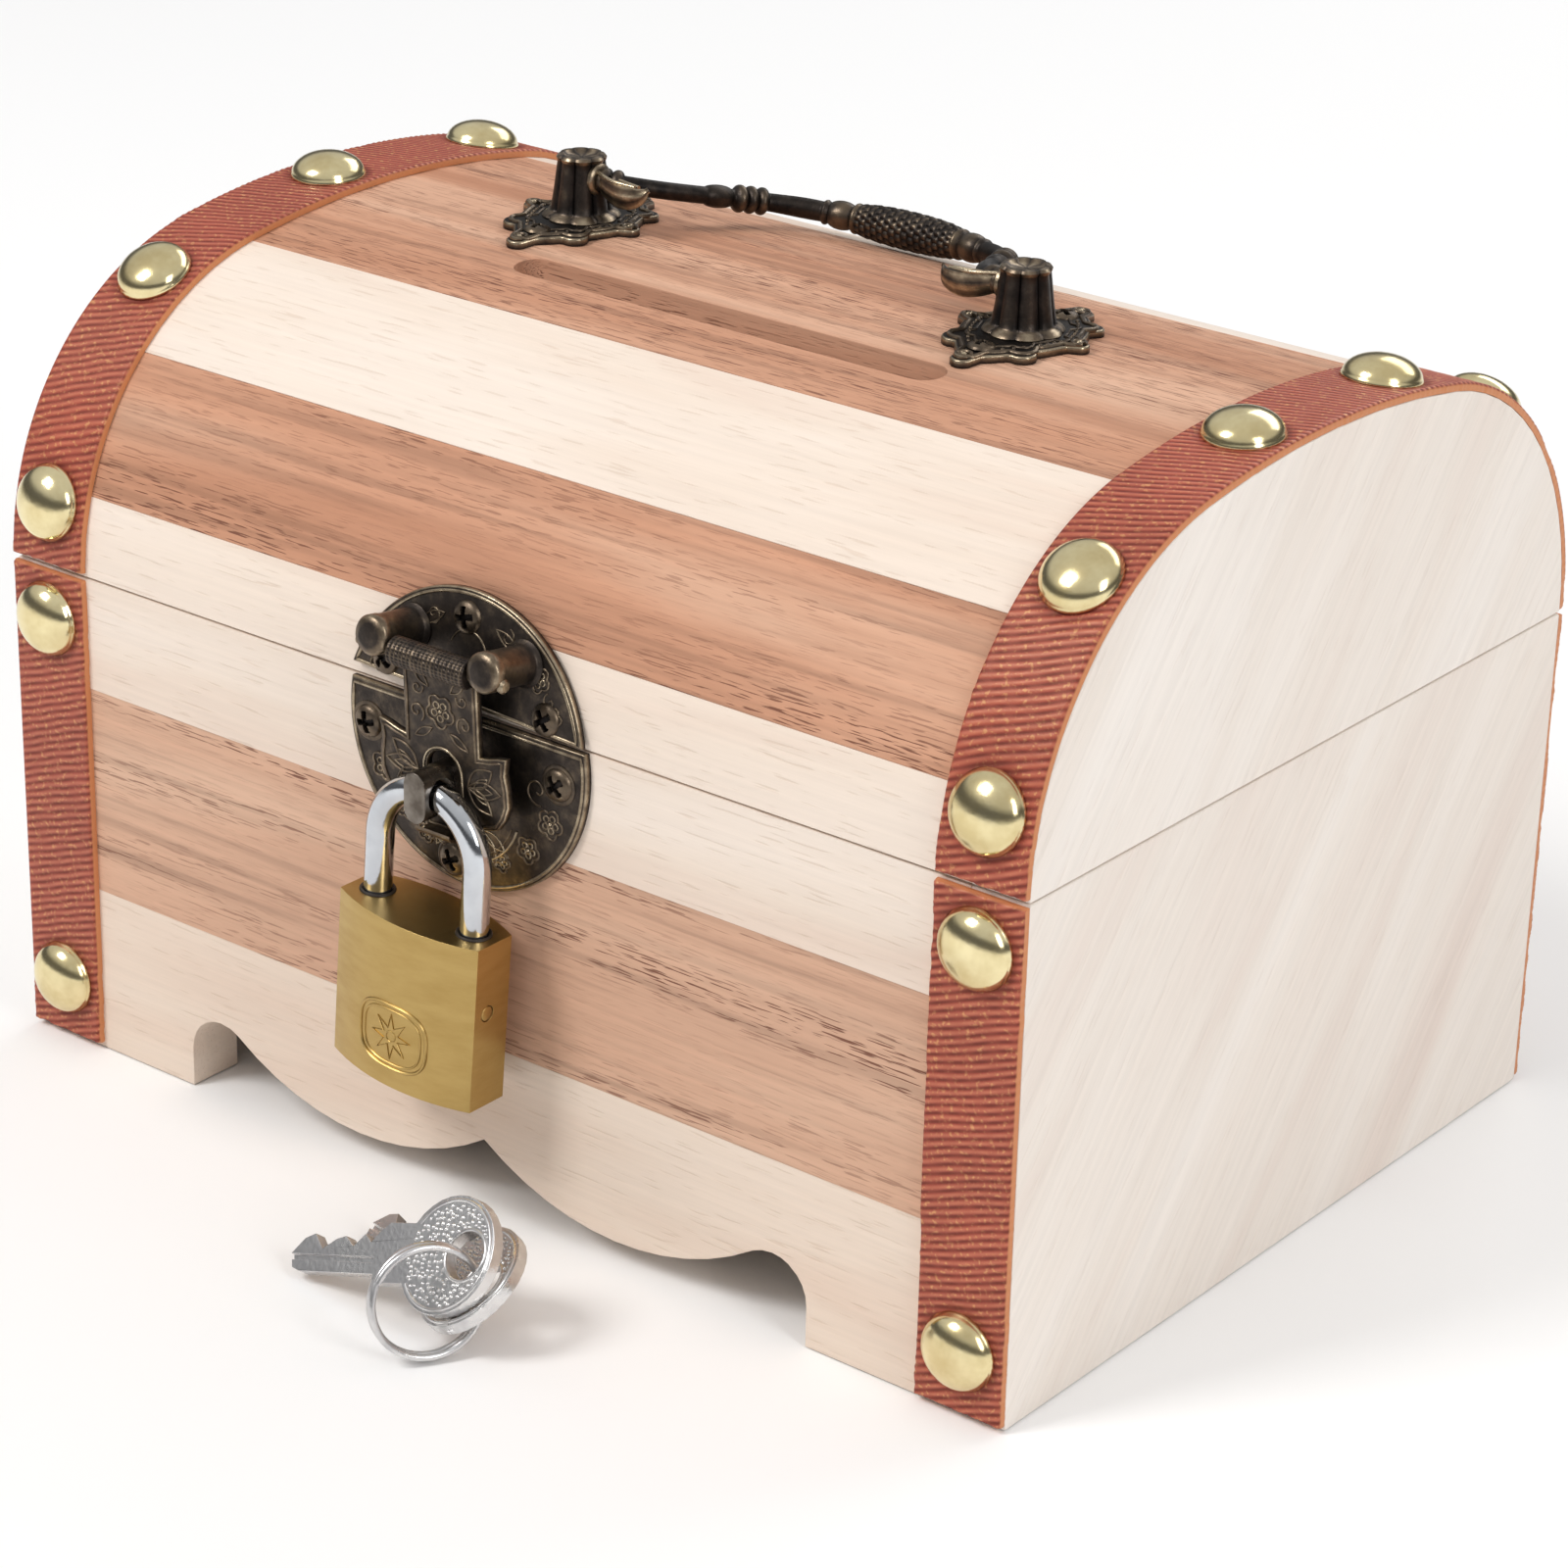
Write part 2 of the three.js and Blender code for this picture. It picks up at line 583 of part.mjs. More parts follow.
function addHinges() {
  const axisZ = (splitHeight + lidBottom) / 2;
  const third = hingeWidth / 3;
  for (const [sideName, x] of [["left", -hingeX], ["right", hingeX]]) {
    const x0 = x - hingeWidth / 2;
    const x1 = x + hingeWidth / 2;
    const reach = knuckleRadius + 0.3;
    const back = rear + leafThickness;
    const bore = rodAlongX(0.8, x0 - 1, x1 + 1, hingeAxisY, axisZ);
    const baseLeaf = [block(x0, x1, rear, back, axisZ - leafHeight, axisZ - reach)];
    for (const start of [x0, x1 - third + 0.15]) {
      const end = start + third - 0.15;
      baseLeaf.push(block(start, end, rear, back, axisZ - reach - 1, axisZ - 0.2));
      baseLeaf.push(rodAlongX(knuckleRadius, start, end, hingeAxisY, axisZ));
    }
    addPart(`hinge_base_leaf_${sideName}`, combine(baseLeaf, [bore]), "brass");
    const start = x0 + third + 0.15;
    const end = x1 - third - 0.15;
    const lidLeaf = [
      block(x0, x1, rear, back, axisZ + reach, axisZ + leafHeight),
      block(start, end, rear, back, axisZ + 0.2, axisZ + reach + 1),
      rodAlongX(knuckleRadius, start, end, hingeAxisY, axisZ),
    ];
    addPart(`hinge_lid_leaf_${sideName}`, combine(lidLeaf, [bore]), "brass");
    addPart(`hinge_pin_${sideName}`, rodAlongX(0.7, x0, x1, hingeAxisY, axisZ), "brass");
  }
}

addBase();
addLid();
addStraps();
addHandle();
addLatch();
addPadlock();
addKeys();
addHinges();

// The origin lies on the ground under the centre of the whole object.
const bounds = new THREE.Box3().setFromObject(model, true);
const centre = bounds.getCenter(new THREE.Vector3());
model.position.set(-centre.x, -centre.y, 0);

export default model;
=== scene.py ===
"""A wooden money box shaped like a strapped treasure chest, with its padlock and keys."""
import json
import math
import random
from math import cos, pi, sin

import bmesh
import bpy
import numpy as np
from mathutils import Matrix, Vector


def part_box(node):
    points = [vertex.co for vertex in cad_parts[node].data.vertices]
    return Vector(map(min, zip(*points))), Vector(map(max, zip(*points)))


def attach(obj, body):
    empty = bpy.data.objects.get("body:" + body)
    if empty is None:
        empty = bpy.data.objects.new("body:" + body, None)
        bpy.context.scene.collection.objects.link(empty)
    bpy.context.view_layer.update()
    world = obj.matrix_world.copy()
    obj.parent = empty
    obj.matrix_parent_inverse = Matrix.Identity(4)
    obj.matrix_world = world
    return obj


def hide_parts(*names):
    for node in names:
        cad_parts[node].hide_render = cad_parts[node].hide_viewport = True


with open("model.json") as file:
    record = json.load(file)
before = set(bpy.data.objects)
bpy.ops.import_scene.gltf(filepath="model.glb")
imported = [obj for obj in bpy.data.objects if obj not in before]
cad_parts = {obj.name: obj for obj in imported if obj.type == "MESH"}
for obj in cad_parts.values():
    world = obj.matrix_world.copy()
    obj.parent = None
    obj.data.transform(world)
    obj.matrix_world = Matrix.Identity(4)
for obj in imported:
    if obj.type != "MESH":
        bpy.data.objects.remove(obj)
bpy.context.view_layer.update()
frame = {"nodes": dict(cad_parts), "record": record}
nodes = frame["nodes"]
joints = {joint["name"]: joint for joint in frame["record"]["behaviour"]["joints"]}

# The box's own frame is in millimetres: its origin is under the middle of the wooden box.
end_low, end_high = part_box("base_end_left")
BOX_Y = (end_low[1] + end_high[1]) / 2
HALF_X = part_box("base_end_right")[1][0] * 1000
HALF_Y = (end_high[1] - end_low[1]) * 500
SPLIT = end_high[2] * 1000
SIDE_RADIUS = 43.0
CROWN_RADIUS = 165.0
SIDE_Y = HALF_Y - SIDE_RADIUS
CROWN_TURN = math.asin(SIDE_Y / (CROWN_RADIUS - SIDE_RADIUS))
CROWN_Z = SPLIT - (CROWN_RADIUS - SIDE_RADIUS) * cos(CROWN_TURN)
SIDE_LENGTH = SIDE_RADIUS * (pi / 2 - CROWN_TURN)
ARCH_LENGTH = 2 * SIDE_LENGTH + 2 * CROWN_RADIUS * CROWN_TURN
STRAP_WIDTH = 14.0
STRAP_X = HALF_X - STRAP_WIDTH / 2


def place(points):
    """Box-frame millimetres to the model's frame in metres."""
    return np.asarray(points, float) / 1000 + np.array([0, BOX_Y, 0])


def measure(point):
    """A point of the model's frame in metres to box-frame millimetres."""
    return (np.asarray(point, float) - np.array([0, BOX_Y, 0])) * 1000


def joint_at(name):
    return measure(joints[name]["pos_m"])


def node_box(name):
    low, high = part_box(name)
    return measure(low), measure(high)


def node_centre(name):
    low, high = node_box(name)
    return (low + high) / 2


# ---- camera, light and floor

# The camera was fitted to the box's corners and seams: degrees, millimetres and picture widths.
VIEW_ANGLES = (37.89, 23.77, 1.41)
VIEW_CENTRE = (0, 0, 60)
VIEW_DISTANCE = 658.05
VIEW_SHIFT = (0.26, -15.03)
FOCAL_LENGTH = 4624.8
PICTURE_WIDTH = 1600
SENSOR_WIDTH = 36


def add_camera():
    azimuth, elevation, roll = (math.radians(a) for a in VIEW_ANGLES)
    back = Vector((
        sin(azimuth) * cos(elevation),
        -cos(azimuth) * cos(elevation),
        sin(elevation),
    ))
    level = Vector((cos(azimuth), sin(azimuth), 0))
    up = back.cross(level)
    right = cos(roll) * level + sin(roll) * up
    top = -sin(roll) * level + cos(roll) * up
    eye = Vector(VIEW_CENTRE) + back * VIEW_DISTANCE + right * VIEW_SHIFT[0] + top * VIEW_SHIFT[1]
    camera = bpy.data.objects.new("camera", bpy.data.cameras.new("camera"))
    turn = Matrix((right, top, back)).transposed().to_4x4()
    camera.matrix_world = Matrix.Translation(Vector(place(eye))) @ turn
    camera.data.sensor_width = SENSOR_WIDTH
    camera.data.lens = SENSOR_WIDTH * FOCAL_LENGTH / PICTURE_WIDTH
    camera.data.clip_start = 0.01
    bpy.context.scene.collection.objects.link(camera)
    bpy.context.scene.camera = camera


def add_area(name, where, aim, size, power, colour=(1, 1, 1)):
    light = bpy.data.objects.new(name, bpy.data.lights.new(name, "AREA"))
    light.data.shape = "RECTANGLE"
    light.data.size, light.data.size_y = size
    light.data.energy = power
    light.data.color = colour
    light.location = where
    light.rotation_euler = (Vector(aim) - Vector(where)).to_track_quat("-Z", "Y").to_euler()
    bpy.context.scene.collection.objects.link(light)


def add_studio():
    floor = bpy.data.meshes.new("floor")
    floor.from_pydata([(-4, -4, 0), (4, -4, 0), (4, 4, 0), (-4, 4, 0)], [], [(0, 1, 2, 3)])
    floor_object = bpy.data.objects.new("floor", floor)
    bpy.context.scene.collection.objects.link(floor_object)
    floor_object.location.z = -0.0002
    floor.materials.append(plain_material("floor_white", (0.93, 0.93, 0.93), 0.9))
    aim = (0, 0, 0.06)
    add_area("key_light", (-0.55, -1.0, 1.25), aim, (0.5, 0.6), 13.5, (1.0, 0.985, 0.97))
    add_area("side_light", (1.25, -0.35, 0.75), aim, (0.4, 0.7), 5.8, (1.0, 0.995, 0.99))
    add_area("rear_light", (0.1, 1.3, 1.0), aim, (1.4, 0.6), 6.5)
    world = bpy.data.worlds.new("studio")
    bpy.context.scene.world = world
    world.use_nodes = True
    tree = world.node_tree
    tree.nodes.clear()
    coords = tree.nodes.new("ShaderNodeTexCoord")
    split = tree.nodes.new("ShaderNodeSeparateXYZ")
    tree.links.new(coords.outputs["Generated"], split.inputs[0])
    shade = ramp(tree, split.outputs["Z"], [
        (0.0, (0.85, 0.85, 0.85)), (0.05, (0.2, 0.2, 0.21)), (0.26, (0.24, 0.24, 0.25)),
        (0.42, (1.1, 1.1, 1.1)), (1.0, (1.35, 1.35, 1.35)),
    ])
    background = tree.nodes.new("ShaderNodeBackground")
    tree.links.new(shade, background.inputs["Color"])
    background.inputs["Strength"].default_value = 0.52
    output = tree.nodes.new("ShaderNodeOutputWorld")
    tree.links.new(background.outputs[0], output.inputs["Surface"])
    view = bpy.context.scene.view_settings
    view.view_transform = "Standard"
    view.look = "None"
    view.exposure = 0.0


# ---- material helpers

def srgb(red, green, blue):
    """Colour values from 0 to 255 to the shader's linear scale."""
    channels = []
    for value in (red, green, blue):
        part = value / 255
        channels.append(part / 12.92 if part <= 0.04045 else ((part + 0.055) / 1.055) ** 2.4)
    return tuple(channels)


def new_material(name):
    material = bpy.data.materials.new(name)
    material.use_nodes = True
    return material, material.node_tree, material.node_tree.nodes["Principled BSDF"]


def plain_material(name, colour, roughness):
    material, _, shader = new_material(name)
    shader.inputs["Base Color"].default_value = (*colour, 1)
    shader.inputs["Roughness"].default_value = roughness
    return material


def add_node(tree, kind, **values):
    """A shader node, with values set on the inputs that no link drives."""
    node = tree.nodes.new(f"ShaderNode{kind}")
    for name, value in values.items():
        node.inputs[name].default_value = value
    return node


def feed(tree, socket, value):
    """Links a socket, or sets it to a number or a colour."""
    if isinstance(value, (int, float)):
        socket.default_value = value
    elif isinstance(value, tuple):
        socket.default_value = (*value, 1)
    else:
        tree.links.new(value, socket)


def stretched(tree, vector, scale, offset=(0, 0, 0), turn=(0, 0, 0)):
    node = add_node(tree, "Mapping", Scale=scale, Location=offset, Rotation=turn)
    tree.links.new(vector, node.inputs["Vector"])
    return node.outputs[0]


def coordinates(tree, scale, offset=(0, 0, 0), turn=(0, 0, 0)):
    """The object's own coordinates. A single number scales all three axes."""
    if isinstance(scale, (int, float)):
        scale = (scale, scale, scale)
    return stretched(tree, add_node(tree, "TexCoord").outputs["Object"], scale, offset, turn)


def turned_coordinates(tree, turn, scale, offset=(0, 0, 0)):
    """Turns the coordinates first and stretches them afterwards."""
    return stretched(tree, coordinates(tree, 1, turn=turn), scale, offset)


def noise(tree, vector, detail=2.0, roughness=0.5, distortion=0.0):
    node = add_node(tree, "TexNoise", Scale=1, Detail=detail, Roughness=roughness, Distortion=distortion)
    tree.links.new(vector, node.inputs["Vector"])
    return node.outputs["Fac"]


def ramp(tree, factor, stops):
    node = tree.nodes.new("ShaderNodeValToRGB")
    elements = node.color_ramp.elements
    while len(elements) < len(stops):
        elements.new(0.5)
    for element, (position, colour) in zip(elements, stops):
        element.position = position
        if isinstance(colour, (int, float)):
            colour = (colour, colour, colour)
        element.color = (*colour, 1)
    tree.links.new(factor, node.inputs[0])
    return node.outputs["Color"]


def mix(tree, factor, first, second, blend="MIX"):
    node = tree.nodes.new("ShaderNodeMix")
    node.data_type = "RGBA"
    node.blend_type = blend
    for socket, value in ((node.inputs[0], factor), (node.inputs[6], first), (node.inputs[7], second)):
        feed(tree, socket, value)
    return node.outputs[2]


def tinted(tree, amount, colour, factor, stops):
    """Multiplies a colour by a ramp of greys."""
    return mix(tree, amount, colour, ramp(tree, factor, stops), "MULTIPLY")


def maths(tree, operation, first, second):
    node = tree.nodes.new("ShaderNodeMath")
    node.operation = operation
    for socket, value in zip(node.inputs, (first, second)):
        feed(tree, socket, value)
    return node.outputs[0]


def bump(tree, shader, height, distance, strength=1.0):
    node = add_node(tree, "Bump", Strength=strength, Distance=distance)
    tree.links.new(height, node.inputs["Height"])
    tree.links.new(node.outputs[0], shader.inputs["Normal"])


def attribute(tree, name):
    node = tree.nodes.new("ShaderNodeAttribute")
    node.attribute_name = name
    return node.outputs["Fac"]


# ---- materials

def blend(colours, target, share):
    """Moves each colour a share of the way to the target."""
    return tuple(tuple(a + (b - a) * share for a, b in zip(colour, target)) for colour in colours)


def grain(tree, along, across, offset, detail, roughness, distortion=0.0, turn=None):
    """Noise drawn out along the grain."""
    scale = (along, across, across)
    if turn is None:
        vector = coordinates(tree, scale, offset)
    else:
        vector = turned_coordinates(tree, turn, scale, offset)
    return noise(tree, vector, detail, roughness, distortion)


def finish_wood(tree, shader, colour, roughness):
    tree.links.new(colour, shader.inputs["Base Color"])
    shader.inputs["Roughness"].default_value = roughness
    shader.inputs["Specular IOR Level"].default_value = 0.3


def red_wood(name, offset, light=0.0, streaks=0.5):
    """Pinkish brown hardwood with dark dashed pores that run along X."""
    material, tree, shader = new_material(name)
    shades = (srgb(180, 127, 98), srgb(198, 147, 118), srgb(216, 174, 147))
    dark, mid, pale = blend(shades, srgb(220, 188, 164), light)
    broad = grain(tree, 5, 55, offset, 3, 0.55, 0.6)
    colour = ramp(tree, broad, [(0.3, dark), (0.5, mid), (0.72, pale)])
    fibre = grain(tree, 22, 900, offset, 5, 0.6)
    colour = tinted(tree, 0.55, colour, fibre, [(0.3, 0.8), (0.7, 1.12)])
    zone = grain(tree, 7, 110, offset, 3, 0.6, 0.4)
    zone = ramp(tree, zone, [(streaks - 0.1, 0.12), (streaks + 0.1, 1.0)])
    pore = ramp(tree, grain(tree, 230, 4300, offset, 1, 0.4), [(0.585, 0.0), (0.65, 1.0)])
    mark = maths(tree, "MULTIPLY", pore, zone)
    line = grain(tree, 9, 420, offset, 2, 0.5, 0.3)
    colour = tinted(tree, 0.7, colour, line, [(0.36, 0.72), (0.46, 1.0), (0.7, 1.06)])
    colour = mix(tree, maths(tree, "MULTIPLY", mark, 0.9), colour, srgb(112, 68, 52))
    finish_wood(tree, shader, colour, 0.68)
    height = maths(tree, "SUBTRACT", maths(tree, "MULTIPLY", fibre, 0.35), mark)
    bump(tree, shader, height, 0.00022, 0.55)
    return material


def pale_wood(name, offset, turn=(0, 0, 0), warmth=0.0, bands=0.35, pores=0.18):
    """Cream softwood: faint pinkish bands, a fine fibre and a few thin pores along the grain."""
    material, tree, shader = new_material(name)
    shades = (srgb(233, 217, 202), srgb(237, 223, 210), srgb(227, 206, 190))
    cream, white, pink = blend(shades, srgb(222, 190, 158), warmth)
    broad = grain(tree, 6, 48, offset, 3, 0.5, 0.8, turn)
    colour = ramp(tree, broad, [(0.5 - bands / 2, pink), (0.5, cream), (0.5 + bands / 2, white)])
    fibre = grain(tree, 24, 1100, offset, 5, 0.6, turn=turn)
    colour = tinted(tree, 0.5, colour, fibre, [(0.3, 0.9), (0.7, 1.05)])
    pore = ramp(tree, grain(tree, 150, 2300, offset, 1, 0.4, turn=turn), [(0.64, 0.0), (0.72, 1.0)])
    colour = mix(tree, maths(tree, "MULTIPLY", pore, pores), colour, srgb(176, 140, 108))
    finish_wood(tree, shader, colour, 0.66)
    bump(tree, shader, maths(tree, "SUBTRACT", fibre, pore), 0.0001, 0.45)
    return material


def leather_material():
    """Terracotta leather: painted shade darkens its grooves, a painted golden sheen flecks its ridges, raw
    tan at its cut edges.
    """
    material, tree, shader = new_material("strap_leather")
    relief, edge = attribute(tree, "relief"), attribute(tree, "edge")
    blotch = noise(tree, coordinates(tree, 70), 4, 0.6)
    # Painted shade: the ramp over relief darkens the grooves to maroon.
    stops = [(0.1, srgb(112, 40, 34)), (0.5, srgb(158, 72, 58)), (0.95, srgb(188, 106, 82))]
    colour = tinted(tree, 0.6, ramp(tree, relief, stops), blotch, [(0.3, 0.78), (0.7, 1.16)])
    # Painted sheen: golden flecks where the relief is high, on the ridges.
    sheen_fleck = noise(tree, coordinates(tree, 1500), 2, 0.5)
    sheen_fleck = maths(tree, "MULTIPLY", ramp(tree, sheen_fleck, [(0.57, 0.0), (0.66, 0.6)]), relief)
    colour = mix(tree, sheen_fleck, colour, srgb(224, 172, 112))
    colour = mix(tree, edge, colour, srgb(203, 132, 88))
    tree.links.new(colour, shader.inputs["Base Color"])
    gloss = ramp(tree, relief, [(0.0, 0.62), (1.0, 0.36)])
    tree.links.new(gloss, shader.inputs["Roughness"])
    shader.inputs["Specular IOR Level"].default_value = 0.55
    shader.inputs["Specular Tint"].default_value = (1.0, 0.82, 0.62, 1)
    pebble = noise(tree, coordinates(tree, 2400), 3, 0.6)
    bump(tree, shader, pebble, 0.0001, 0.6)
    return material


def metal_material(name, base, dark, roughness, bump_height=0.00002, stretch=(160, 160, 160)):
    material, tree, shader = new_material(name)
    wear = noise(tree, coordinates(tree, stretch), 4, 0.6)
    tree.links.new(ramp(tree, wear, [(0.35, dark), (0.62, base)]), shader.inputs["Base Color"])
    tree.links.new(ramp(tree, wear, [(0.3, roughness + 0.09), (0.7, roughness)]), shader.inputs["Roughness"])
    shader.inputs["Metallic"].default_value = 1.0
    fine = noise(tree, coordinates(tree, tuple(9 * s for s in stretch)), 2, 0.5)
    bump(tree, shader, fine, bump_height, 0.5)
    return material


def bronze_material():
    """Blackened bronze, rubbed back to gold where the relief stands up."""
    material, tree, shader = new_material("antique_bronze")
    relief = attribute(tree, "relief")
    patch = noise(tree, coordinates(tree, 420), 5, 0.65)
    rub = maths(tree, "ADD", relief, maths(tree, "MULTIPLY", maths(tree, "SUBTRACT", patch, 0.5), 0.9))
    colour = ramp(tree, rub, [
        (0.0, srgb(32, 29, 28)), (0.32, srgb(62, 55, 50)),
        (0.64, srgb(112, 98, 82)), (0.98, srgb(184, 168, 142)),
    ])
    tree.links.new(colour, shader.inputs["Base Color"])
    shader.inputs["Metallic"].default_value = 0.92
    tree.links.new(ramp(tree, rub, [(0.1, 0.46), (0.9, 0.27)]), shader.inputs["Roughness"])
    pits = noise(tree, coordinates(tree, 2600), 3, 0.6)
    bump(tree, shader, pits, 0.00006, 0.5)
    return material


def paint(name, material):
    node = nodes[name]
    for socket in node.material_slots:
        socket.material = material


def soften(name, width, segments=2):
    """Breaks the sharp edges of a carried-over solid with modifiers."""
    node = nodes[name]
    weld = node.modifiers.new("weld", "WELD")
    weld.merge_threshold = 0.000001
    bevel = node.modifiers.new("bevel", "BEVEL")
    bevel.width = width / 1000
    bevel.segments = segments
    bevel.limit_method = "ANGLE"
    bevel.angle_limit = math.radians(28)
    bevel.miter_outer = "MITER_ARC"
    normals = node.modifiers.new("normals", "WEIGHTED_NORMAL")
    normals.keep_sharp = False
    normals.weight = 60


# ---- mesh helpers

class Shape:
    """Collects vertices, faces and two per-vertex values, and turns them into one object."""

    def __init__(self):
        self.vertices = []
        self.faces = []
        self.relief = []
        self.edge = []

    def add(self, vertices, faces, relief=0.0, edge=0.0):
        start = len(self.vertices)
        vertices = np.asarray(vertices, float)
        self.vertices.extend(map(tuple, vertices))
        self.faces.extend(tuple(start + i for i in face) for face in faces)
        self.relief.extend(np.broadcast_to(relief, len(vertices)).tolist())
        self.edge.extend(np.broadcast_to(edge, len(vertices)).tolist())
        return self

    def turn(self, centre, axis, profile, segments, relief=0.0):
        """Adds a turned solid."""
        return self.add(*lathe(centre, axis, profile, segments)[:2], relief)

    def build(self, name, material, body, slot, replaced=(), smooth=35):
        mesh = bpy.data.meshes.new(name)
        mesh.from_pydata(place(self.vertices).tolist(), [], self.faces)
        for label, values in (("relief", self.relief), ("edge", self.edge)):
            layer = mesh.attributes.new(label, "FLOAT", "POINT")
            layer.data.foreach_set("value", np.asarray(values, np.float32))
        mesh.validate()
        work = bmesh.new()
        work.from_mesh(mesh)
        bmesh.ops.recalc_face_normals(work, faces=work.faces)
        work.to_mesh(mesh)
        work.free()
        mesh.shade_smooth()
        mesh.set_sharp_from_angle(angle=math.radians(smooth))
        mesh.materials.append(material)
        piece = bpy.data.objects.new(name, mesh)
        bpy.context.scene.collection.objects.link(piece)
        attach(piece, body)
        if replaced:
            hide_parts(*replaced)

    def build_bronze(self, name, body, node, smooth=50):
        self.build(name, bronze, body, "antique_bronze", (node,), smooth)


def unit(vector):
    vector = np.asarray(vector, float)
    return vector / np.linalg.norm(vector)


def full_turn(steps):
    """Angles spread evenly round a circle."""
    return np.linspace(0, 2 * pi, steps, endpoint=False)


def leaned(y, z, turn, foot_y, foot_z):
    """Turns (y, z) about X, with +Y going down, and moves it to its foot."""
    c, s = cos(turn), sin(turn)
    return foot_y + y * c + z * s, foot_z - y * s + z * c


def grid_faces(rows, columns, wrap_rows=False, wrap_columns=False):
    faces = []
    for i in range(rows if wrap_rows else rows - 1):
        for j in range(columns if wrap_columns else columns - 1):
            a, b = i * columns + j, i * columns + (j + 1) % columns
            c, d = ((i + 1) % rows) * columns + (j + 1) % columns, ((i + 1) % rows) * columns + j
            faces.append((a, b, c, d))
    return faces


def basis(axis, hint=(0, 0, 1)):
    axis = unit(axis)
    side = np.cross(hint, axis)
    if np.linalg.norm(side) < 1e-6:
        side = np.cross((1, 0, 0), axis)
    side /= np.linalg.norm(side)
    return side, np.cross(axis, side), axis


def lathe(centre, axis, profile, segments=32, radius_at=None, relief=None, hint=(0, 0, 1)):
    """Turns (radius, height) pairs about an axis. radius_at may change the radius with the angle."""
    side, up, forward = basis(axis, hint)
    angles = full_turn(segments)
    points = []
    for radius, height in profile:
        around = radius * (radius_at(angles, height) if radius_at else np.ones(segments))
        for angle, reach in zip(angles, around):
            flat = side * cos(angle) * reach + up * sin(angle) * reach
            points.append(np.asarray(centre) + flat + forward * height)
    faces = grid_faces(len(profile), segments, wrap_columns=True)
    faces.append(tuple(reversed(range(segments))))
    last = (len(profile) - 1) * segments
    faces.append(tuple(last + i for i in range(segments)))
    values = 0.0 if relief is None else np.repeat([relief(r, h) for r, h in profile], segments)
    return points, faces, values


def dome_profile(radius, height, steps=6, skirt=0.3):
    turns = np.linspace(0, pi / 2 * 0.985, steps)
    rim = [(radius, -skirt), (radius, 0)]
    return rim + [(radius * cos(t), height * sin(t)) for t in turns[1:]]


def catmull(points, steps):
    """A smooth curve through the points."""
    points = np.asarray(points, float)
    ends = np.vstack([2 * points[0] - points[1], points, 2 * points[-1] - points[-2]])
    curve = []
    for i in range(1, len(ends) - 2):
        p0, p1, p2, p3 = ends[i - 1:i + 3]
        for t in np.linspace(0, 1, steps, endpoint=False):
            curve.append(0.5 * (
                2 * p1 + (p2 - p0) * t + (2 * p0 - 5 * p1 + 4 * p2 - p3) * t * t
                + (3 * p1 - p0 - 3 * p2 + p3) * t ** 3
            ))
    curve.append(points[-1])
    return np.array(curve)


def sweep(path, radius, segments=12, closed=False, hint=(0, 0, 1), flatten=1.0, bumps=None):
    """A round or flattened rod along a path. radius is one number or one per point."""
    path = np.asarray(path, float)
    count = len(path)
    radii = np.broadcast_to(radius, count)
    if closed:
        tangents = np.roll(path, -1, 0) - np.roll(path, 1, 0)
    else:
        tangents = np.gradient(path, axis=0)
    tangents /= np.linalg.norm(tangents, axis=1)[:, None]
    side, _, _ = basis(tangents[0], hint)
    angles = full_turn(segments)
    points = []
    for i in range(count):
        side = side - tangents[i] * side.dot(tangents[i])
        side /= np.linalg.norm(side)
        up = np.cross(tangents[i], side)
        reach = radii[i] * (bumps(i / (count - 1), angles) if bumps else np.ones(segments))
        ring = np.outer(np.cos(angles) * reach, side) + np.outer(np.sin(angles) * reach * flatten, up)
        points.extend(path[i] + ring)
    faces = grid_faces(count, segments, closed, True)
    if not closed:
        faces.append(tuple(reversed(range(segments))))
        faces.append(tuple((count - 1) * segments + i for i in range(segments)))
    return points, faces


def inset(loop, distance):
    """Moves each point of a closed outline to the left of its direction of travel."""
    loop = np.asarray(loop, float)
    ahead = np.roll(loop, -1, 0) - loop
    behind = loop - np.roll(loop, 1, 0)
    ahead /= np.linalg.norm(ahead, axis=1)[:, None] + 1e-12
    behind /= np.linalg.norm(behind, axis=1)[:, None] + 1e-12
    left = np.stack([-(ahead + behind)[:, 1], (ahead + behind)[:, 0]], 1)
    left /= np.linalg.norm(left, axis=1)[:, None] + 1e-12
    corner = np.clip(np.abs((left * np.stack([-ahead[:, 1], ahead[:, 0]], 1)).sum(1)), 0.55, 1)
    return loop + left * (distance / corner)[:, None]


def slab(shape, loops, back, front, bevel, to_space, steps=3, rim=0.8, face=0.0):
    """A flat plate with rounded front edges. loops[0] runs counter-clockwise, and holes run clockwise."""
    levels = [(0, back), (0, front - bevel)]
    for i in range(1, steps + 1):
        turn = pi / 2 * i / steps
        levels.append((bevel * (1 - cos(turn)), front - bevel + bevel * sin(turn)))
    work = bmesh.new()
    caps = {0: [], len(levels) - 1: []}
    for loop in loops:
        rings = []
        for k, (shift, height) in enumerate(levels):
            ring = [work.verts.new((u, v, height)) for u, v in inset(loop, shift)]
            rings.append(ring)
            if k in caps:
                caps[k].extend(work.edges.new((ring[i], ring[(i + 1) % len(ring)])) for i in range(len(ring)))
        for low, high in zip(rings, rings[1:]):
            for i in range(len(low)):
                j = (i + 1) % len(low)
                work.faces.new((low[i], low[j], high[j], high[i]))
    for edges in caps.values():
        bmesh.ops.triangle_fill(work, use_beauty=True, edges=edges)
    work.verts.index_update()
    flat = np.array([v.co[:] for v in work.verts])
    faces = [tuple(v.index for v in f.verts) for f in work.faces]
    work.free()
    values = np.where(flat[:, 2] > front - 1e-6, face, np.where(flat[:, 2] > front - bevel * 1.01, rim, 0.15))
    shape.add([to_space(u, v, w) for u, v, w in flat], faces, values)


